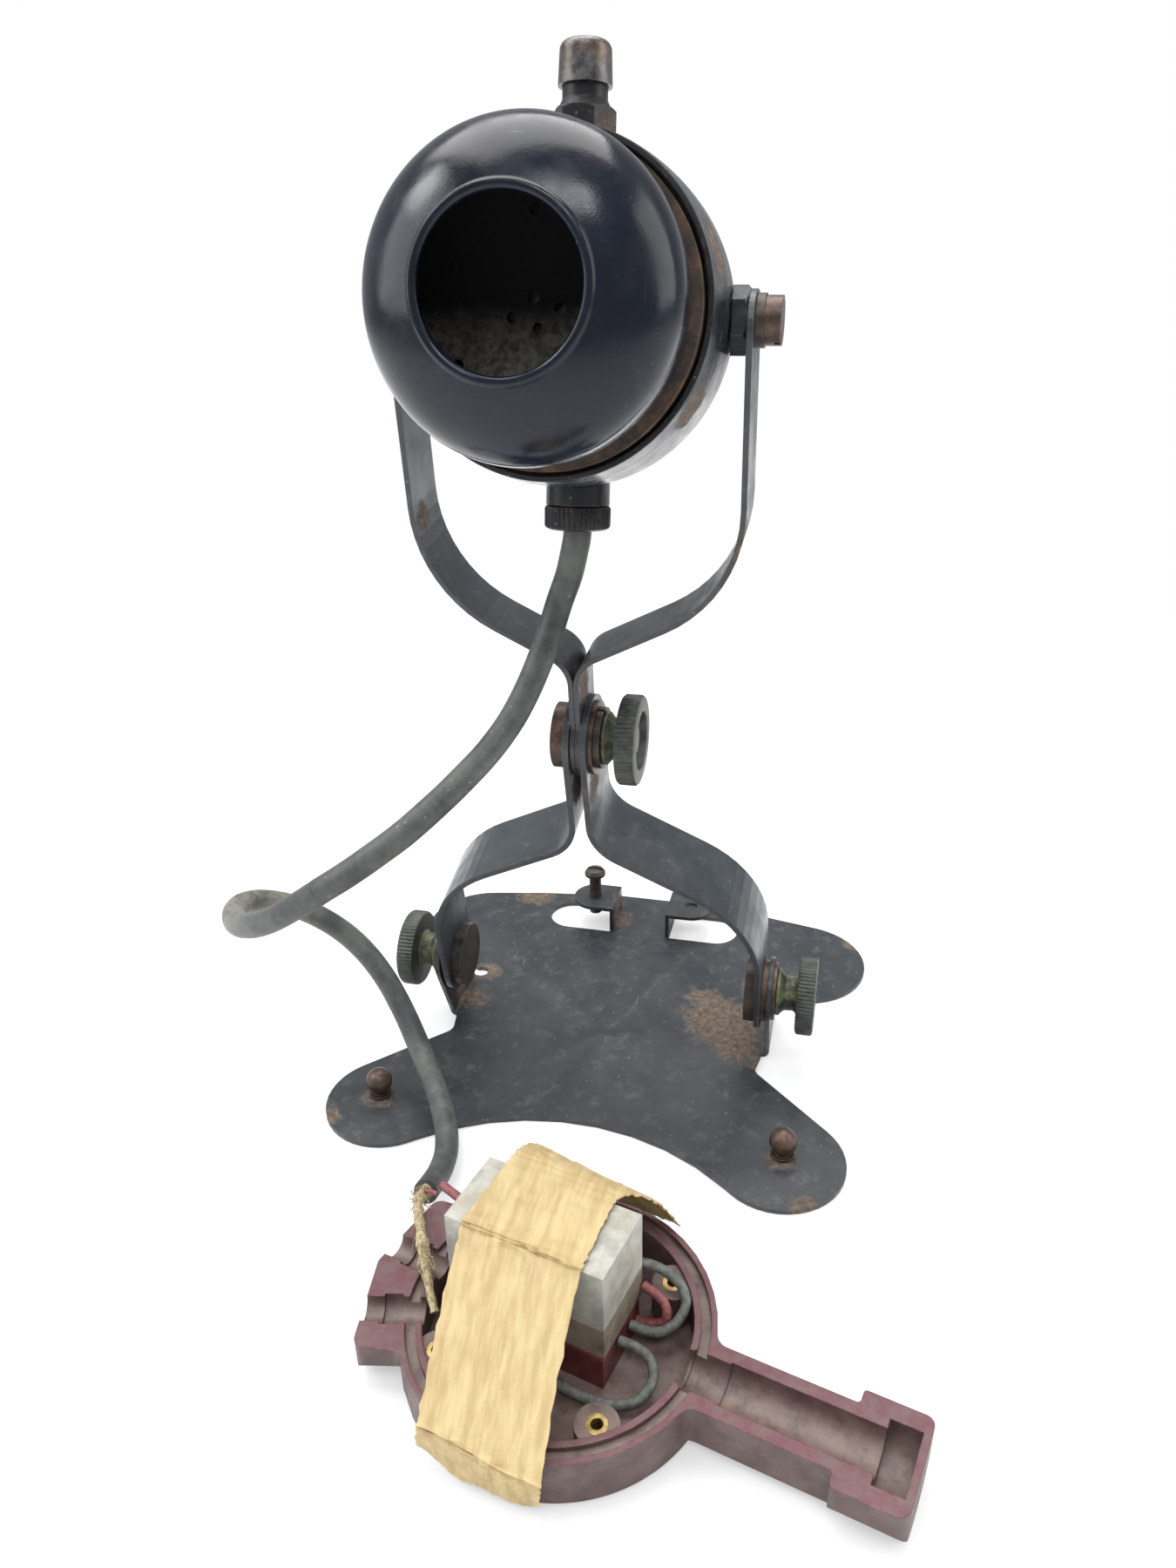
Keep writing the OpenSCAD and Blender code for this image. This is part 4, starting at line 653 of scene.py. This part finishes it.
def wire(name, node, points, material):
    bm = bmesh.new()
    route = smooth_route(points, 5)
    tube(bm, route, WIRE_R, 14,
         lambda i, a: 0.05 * noise.noise(Vector((i * 0.3, math.cos(a), math.sin(a)))))
    piece(name, bm, material, "base", case_frame, replaces=(node,))


wire("red_flex", "red_wire", [(13.5, 13.4, 13.4), (16.6, 13, 12.8), (18.8, 12.6, 11.6),
                              (20, 11.6, 9.6), (19.2, 10.8, 7.6), (16.6, 10.4, 6.4),
                              (13.5, 10.2, 6)], red_wire)
wire("green_flex", "green_wire", [(12, 14.9, 18), (15, 16.6, 16.6), (18.2, 17.2, 15),
                                  (21.4, 16.4, 13.6), (23.2, 14.2, 11.6), (22.6, 11, 9.6),
                                  (20.6, 8.4, 8.6), (17.6, 7.2, 8.2), (13.5, 7, 8.2)], grey_wire)
wire("grey_flex", "grey_wire", [(13.5, 1.5, 9.5), (17.6, 1.6, 9.5), (21, 0.8, 8.6),
                                (22.8, -2, 6.8), (21.8, -6, 5.4), (18, -8.8, 4.6),
                                (12, -10, 4.4), (5, -9.8, 4.4), (-2, -9, 4.4), (-8, -8, 4.6)],
     grey_wire)
wire("line_flex", "line_wire", [(-41, 17.8, 13.9), (-38, 17, 13.9), (-34, 15.8, 14),
                                (-29.6, 14, 14.8), (-26, 12, 15)], red_wire)

dice = random.Random(7)
braid_path = smooth_route(BRAID, 6)
# The knot, as a share of the braid's length
BRAID_KNOT = 0.62
THREADS = 150
THREADS_ALONG = 116
THREAD_POINTS = 6


def braid_radius(share):
    knot = math.exp(-((share - BRAID_KNOT) / 0.045) ** 2)
    return 1.0 + 0.75 * max(0, 1 - share / 0.3) + 0.7 * knot - 0.2 * (share > BRAID_KNOT)


bm = bmesh.new()
last = len(braid_path) - 1
tube(bm, braid_path, 1, 16, lambda i, a: braid_radius(i / last) - 1
     + 0.22 * math.sin(6 * a + i * 0.8) * math.sin(6 * a - i * 0.8)
     + 0.4 * noise.noise(Vector((i * 0.4, 2 * math.cos(a), 2 * math.sin(a)))))
piece("frayed_core", bm, braid_thread, "base", replaces=("braided_core",))

frames_along = carried_frames(braid_path)
bm = bmesh.new()
for k in range(THREADS):
    share = dice.random() ** 1.7 * 0.8
    if k >= THREADS_ALONG:
        share = BRAID_KNOT + dice.uniform(-0.06, 0.08)
    i = int(share * last)
    u, v = frames_along[i]
    angle = dice.uniform(0, 2 * math.pi)
    out = math.cos(angle) * u + math.sin(angle) * v
    along = (braid_path[min(i + 2, last)] - braid_path[i]).normalized()
    start = braid_path[i] + out * braid_radius(share) * 0.75 * MM
    reach = dice.uniform(1.5, 5) * MM
    spread = dice.uniform(0, 1) ** 2 * 0.6 * reach
    turn = dice.uniform(-1, 1) * 0.4 * reach
    other = along.cross(out)
    points = []
    for j in range(THREAD_POINTS):
        t = j / (THREAD_POINTS - 1)
        at = start + along * reach * t * dice.choice((1, 1, 0.96)) + out * spread * t * t
        at = at + other * turn * math.sin(2.6 * t)
        points.append(Vector((at.x, at.y, max(at.z, 0.5 * MM))))
    tube(bm, points, dice.uniform(0.07, 0.14), 4)
piece("loose_threads", bm, braid_thread, "base")

bm = bmesh.new()
tube(bm, smooth_route([(-27.2, -78, 10.5), (-25.4, -79.6, 12.4), (-23.8, -80.6, 13.4),
                       (-22.4, -81.2, 13.6)], 4), 0.55, 10)
piece("cut_core", bm, red_wire, "base")


# Masking tape

# Left and right edge of the tape along its run over the can, and how far its middle bows
TAPE = [((-14.7, -32.1, 2.6), (12.9, -32.3, 2.3), -2.0),
        ((-13.4, -33.7, 7.5), (14.4, -34.2, 7.2), -0.7),
        ((-12.3, -34.7, 11.6), (15.1, -34.9, 11.4), -0.1),
        ((-12.0, -34.6, 13.2), (15.2, -34.8, 13.0), 0),
        ((-12.3, -33.4, 14.4), (15.0, -33.8, 14.0), 0),
        ((-15.8, -19.6, 24.6), (11.4, -20.6, 23.0), 0),
        ((-19.0, -6.4, 33.0), (8.7, -6.4, 33.0), 0),
        ((-19.3, -4.9, 34.35), (8.6, -4.9, 34.35), 0),
        ((-19.3, -3.4, 34.55), (8.5, -3.4, 34.55), 0),
        ((-19.1, 5.0, 34.5), (7.6, 5.0, 34.5), 0),
        ((-19.0, 13.2, 34.8), (7.0, 13.4, 34.6), 0),
        ((-19.0, 18.0, 34.5), (8.2, 17.6, 33.2), 0),
        ((-18.8, 23.0, 31.6), (10.2, 22.4, 28.6), 0),
        ((-18.4, 27.4, 26.2), (11.8, 26.8, 23.0), 0),
        ((-18.0, 30.4, 19.6), (13.1, 29.8, 17.6), 0),
        ((-17.8, 32.4, 13.3), (14.1, 31.8, 13.1), 0)]
TAPE_ACROSS = 56
TAPE_ALONG = 9
TAPE_W = 27
TAPE_STEP = 0.9
TAPE_OUT, TAPE_IN = 0.2, 0.1
left_edge = smooth_route([row[0] for row in TAPE], TAPE_ALONG)
right_edge = smooth_route([row[1] for row in TAPE], TAPE_ALONG)
bows = smooth_route([(0, row[2], 0) for row in TAPE], TAPE_ALONG)

# Each place on the tape with its lift, and how far its ends and sides are ragged
grid = []
for i, (a, b) in enumerate(zip(left_edge, right_edge)):
    line = []
    for j in range(TAPE_ACROSS + 1):
        t = j / TAPE_ACROSS
        at = a.lerp(b, t) + bows[i] * (1 - (2 * t - 1) ** 2)
        spot = Vector((t * TAPE_W, i * TAPE_STEP, 0))
        crease = abs(noise.noise(Vector((spot.x * 0.09 + spot.y * 0.05, spot.y * 0.33, 1))))
        fine = noise.noise(Vector((spot.x * 0.35, spot.y * 1.1, 5)))
        lift = 0.5 * max(0, 0.22 - crease) / 0.22 + 0.12 * fine
        end = noise.noise(Vector((spot.x * 0.8, 9, 2))) * 1.1
        near_end = max(0, 1 - min(i, len(left_edge) - 1 - i) / 5)
        side = noise.noise(Vector((spot.y * 0.7, 3 if t < 0.5 else 7, 4))) * 0.5
        near_side = max(0, 1 - min(t, 1 - t) * 12)
        line.append((at, lift * MM, end * near_end * MM, side * near_side * MM))
    grid.append(line)
rows = len(grid)
bm = bmesh.new()
faces_up, faces_down = [], []
for i in range(rows):
    up_row, down_row = [], []
    for j in range(TAPE_ACROSS + 1):
        at, lift, end, side = grid[i][j]
        ahead = (grid[min(i + 1, rows - 1)][j][0] - grid[max(i - 1, 0)][j][0]).normalized()
        wide = (grid[i][min(j + 1, TAPE_ACROSS)][0] - grid[i][max(j - 1, 0)][0]).normalized()
        up = wide.cross(ahead).normalized()
        at = at + ahead * end + wide * side
        up_row.append(bm.verts.new(at + up * (lift + TAPE_OUT * MM)))
        down_row.append(bm.verts.new(at + up * (lift - TAPE_IN * MM)))
    faces_up.append(up_row)
    faces_down.append(down_row)
for i in range(rows - 1):
    for j in range(TAPE_ACROSS):
        for g in (faces_up, faces_down):
            bm.faces.new((g[i][j], g[i][j + 1], g[i + 1][j + 1], g[i + 1][j]))
    for j in (0, TAPE_ACROSS):
        bm.faces.new((faces_up[i][j], faces_down[i][j], faces_down[i + 1][j],
                      faces_up[i + 1][j]))
for i in (0, rows - 1):
    for j in range(TAPE_ACROSS):
        bm.faces.new((faces_up[i][j], faces_down[i][j], faces_down[i][j + 1],
                      faces_up[i][j + 1]))
piece("crinkled_tape", bm, masking, "base", case_frame, sharp=70, replaces=("tape_band",))


# Camera and light

CAMERA_PLACE = (62.5, -269.96, 224.29)
CAMERA_YAW = 13.76
CAMERA_PITCH = 26.88
CAMERA_ROLL = 1.21
PHOTO_H = 1800
FOCAL_PX = 1348.48
SENSOR_H = 36

yaw, pitch, roll = (math.radians(a) for a in (CAMERA_YAW, CAMERA_PITCH, CAMERA_ROLL))
ahead = Vector((-math.sin(yaw) * math.cos(pitch), math.cos(yaw) * math.cos(pitch),
                -math.sin(pitch)))
right = Vector((math.cos(yaw), math.sin(yaw), 0))
down = ahead.cross(right)
right_rolled = math.cos(roll) * right + math.sin(roll) * down
down_rolled = -math.sin(roll) * right + math.cos(roll) * down
camera_data = bpy.data.cameras.new("camera")
camera_data.sensor_fit = "VERTICAL"
camera_data.sensor_height = SENSOR_H
camera_data.lens = SENSOR_H * FOCAL_PX / PHOTO_H
camera_data.clip_start = 0.01
camera = bpy.data.objects.new("camera", camera_data)
bpy.context.scene.collection.objects.link(camera)
camera.matrix_world = Matrix.Translation(Vector(CAMERA_PLACE) * MM) @ Matrix(
    (right_rolled, -down_rolled, -ahead)).transposed().to_4x4()
bpy.context.scene.camera = camera


def lamp(name, place, aim, size, watts, colour):
    """A rectangular lamp at a place in metres, turned towards another."""
    data = bpy.data.lights.new(name, "AREA")
    data.shape = "RECTANGLE"
    data.size, data.size_y = size
    data.energy = watts
    data.color = colour
    obj = bpy.data.objects.new(name, data)
    bpy.context.scene.collection.objects.link(obj)
    obj.location = place
    obj.rotation_euler = (Vector(aim) - Vector(place)).to_track_quat("-Z", "Y").to_euler()


lamp("ceiling", (-0.15, 0.25, 1.1), (0, -0.03, 0.1), (1.1, 0.8), 15, (1, 0.99, 0.97))
lamp("window_left", (-0.95, -0.35, 0.65), (0, -0.05, 0.12), (0.7, 0.9), 6, (0.96, 0.98, 1))
lamp("window_front", (0.17, -0.64, 1.12), (0, -0.06, 0.2), (0.62, 0.26), 5, (0.97, 0.985, 1))
lamp("lamp_left", (-0.8, -0.13, 0.95), (0, -0.06, 0.2), (0.3, 0.3), 2.5, (1, 1, 1))
lamp("wall_right", (0.95, 0.1, 0.6), (0, -0.05, 0.12), (0.6, 0.9), 5, (1, 0.99, 0.98))

# The world lights the part softly, and the camera sees it as white
world = bpy.data.worlds.new("studio")
bpy.context.scene.world = world
world.use_nodes = True
tree = world.node_tree
tree.nodes.clear()
path = tree.nodes.new("ShaderNodeLightPath")
seen = tree.nodes.new("ShaderNodeMath")
seen.operation = "MAXIMUM"
tree.links.new(path.outputs["Is Camera Ray"], seen.inputs[0])
tree.links.new(path.outputs["Is Transmission Ray"], seen.inputs[1])
lighting = tree.nodes.new("ShaderNodeBackground")
lighting.inputs["Color"].default_value = (0.95, 0.97, 1, 1)
lighting.inputs["Strength"].default_value = 0.55
shown = tree.nodes.new("ShaderNodeBackground")
shown.inputs["Color"].default_value = (1, 1, 1, 1)
shown.inputs["Strength"].default_value = 1.0
either = tree.nodes.new("ShaderNodeMixShader")
out = tree.nodes.new("ShaderNodeOutputWorld")
tree.links.new(seen.outputs[0], either.inputs[0])
tree.links.new(lighting.outputs[0], either.inputs[1])
tree.links.new(shown.outputs[0], either.inputs[2])
tree.links.new(either.outputs[0], out.inputs["Surface"])

# A matt floor that takes shadows near the part and fades into white farther out
FLOOR_HALF = 6
FLOOR_DROP = 0.0002
FADE_NEAR, FADE_FAR, FADE_LEAST = 0.16, 0.55, 0.45
floor_mesh = bpy.data.meshes.new("floor")
floor_mesh.from_pydata([(-FLOOR_HALF, -FLOOR_HALF, 0), (FLOOR_HALF, -FLOOR_HALF, 0),
                        (FLOOR_HALF, FLOOR_HALF, 0), (-FLOOR_HALF, FLOOR_HALF, 0)], [],
                       [(0, 1, 2, 3)])
floor = bpy.data.objects.new("floor", floor_mesh)
bpy.context.scene.collection.objects.link(floor)
floor.location.z = -FLOOR_DROP
floor_finish = bpy.data.materials.new("floor")
floor_finish.use_nodes = True
tree = floor_finish.node_tree
matt = tree.nodes["Principled BSDF"]
matt.inputs["Base Color"].default_value = (0.9, 0.9, 0.9, 1)
matt.inputs["Roughness"].default_value = 0.9
matt.inputs["Specular IOR Level"].default_value = 0.1
glow = tree.nodes.new("ShaderNodeEmission")
glow.inputs["Color"].default_value = (1, 1, 1, 1)
place = tree.nodes.new("ShaderNodeTexCoord")
reach = tree.nodes.new("ShaderNodeVectorMath")
reach.operation = "LENGTH"
fade = tree.nodes.new("ShaderNodeMapRange")
fade.interpolation_type = "SMOOTHSTEP"
fade.inputs["From Min"].default_value = FADE_NEAR
fade.inputs["From Max"].default_value = FADE_FAR
fade.inputs["To Min"].default_value = FADE_LEAST
ray = tree.nodes.new("ShaderNodeLightPath")
share = tree.nodes.new("ShaderNodeMath")
share.operation = "MULTIPLY"
both = tree.nodes.new("ShaderNodeMixShader")
tree.links.new(place.outputs["Object"], reach.inputs[0])
tree.links.new(reach.outputs["Value"], fade.inputs["Value"])
tree.links.new(fade.outputs["Result"], share.inputs[0])
tree.links.new(ray.outputs["Is Camera Ray"], share.inputs[1])
tree.links.new(share.outputs[0], both.inputs[0])
tree.links.new(matt.outputs[0], both.inputs[1])
tree.links.new(glow.outputs[0], both.inputs[2])
tree.links.new(both.outputs[0], tree.nodes["Material Output"].inputs["Surface"])
floor_mesh.materials.append(floor_finish)

bpy.context.scene.view_settings.view_transform = "Standard"
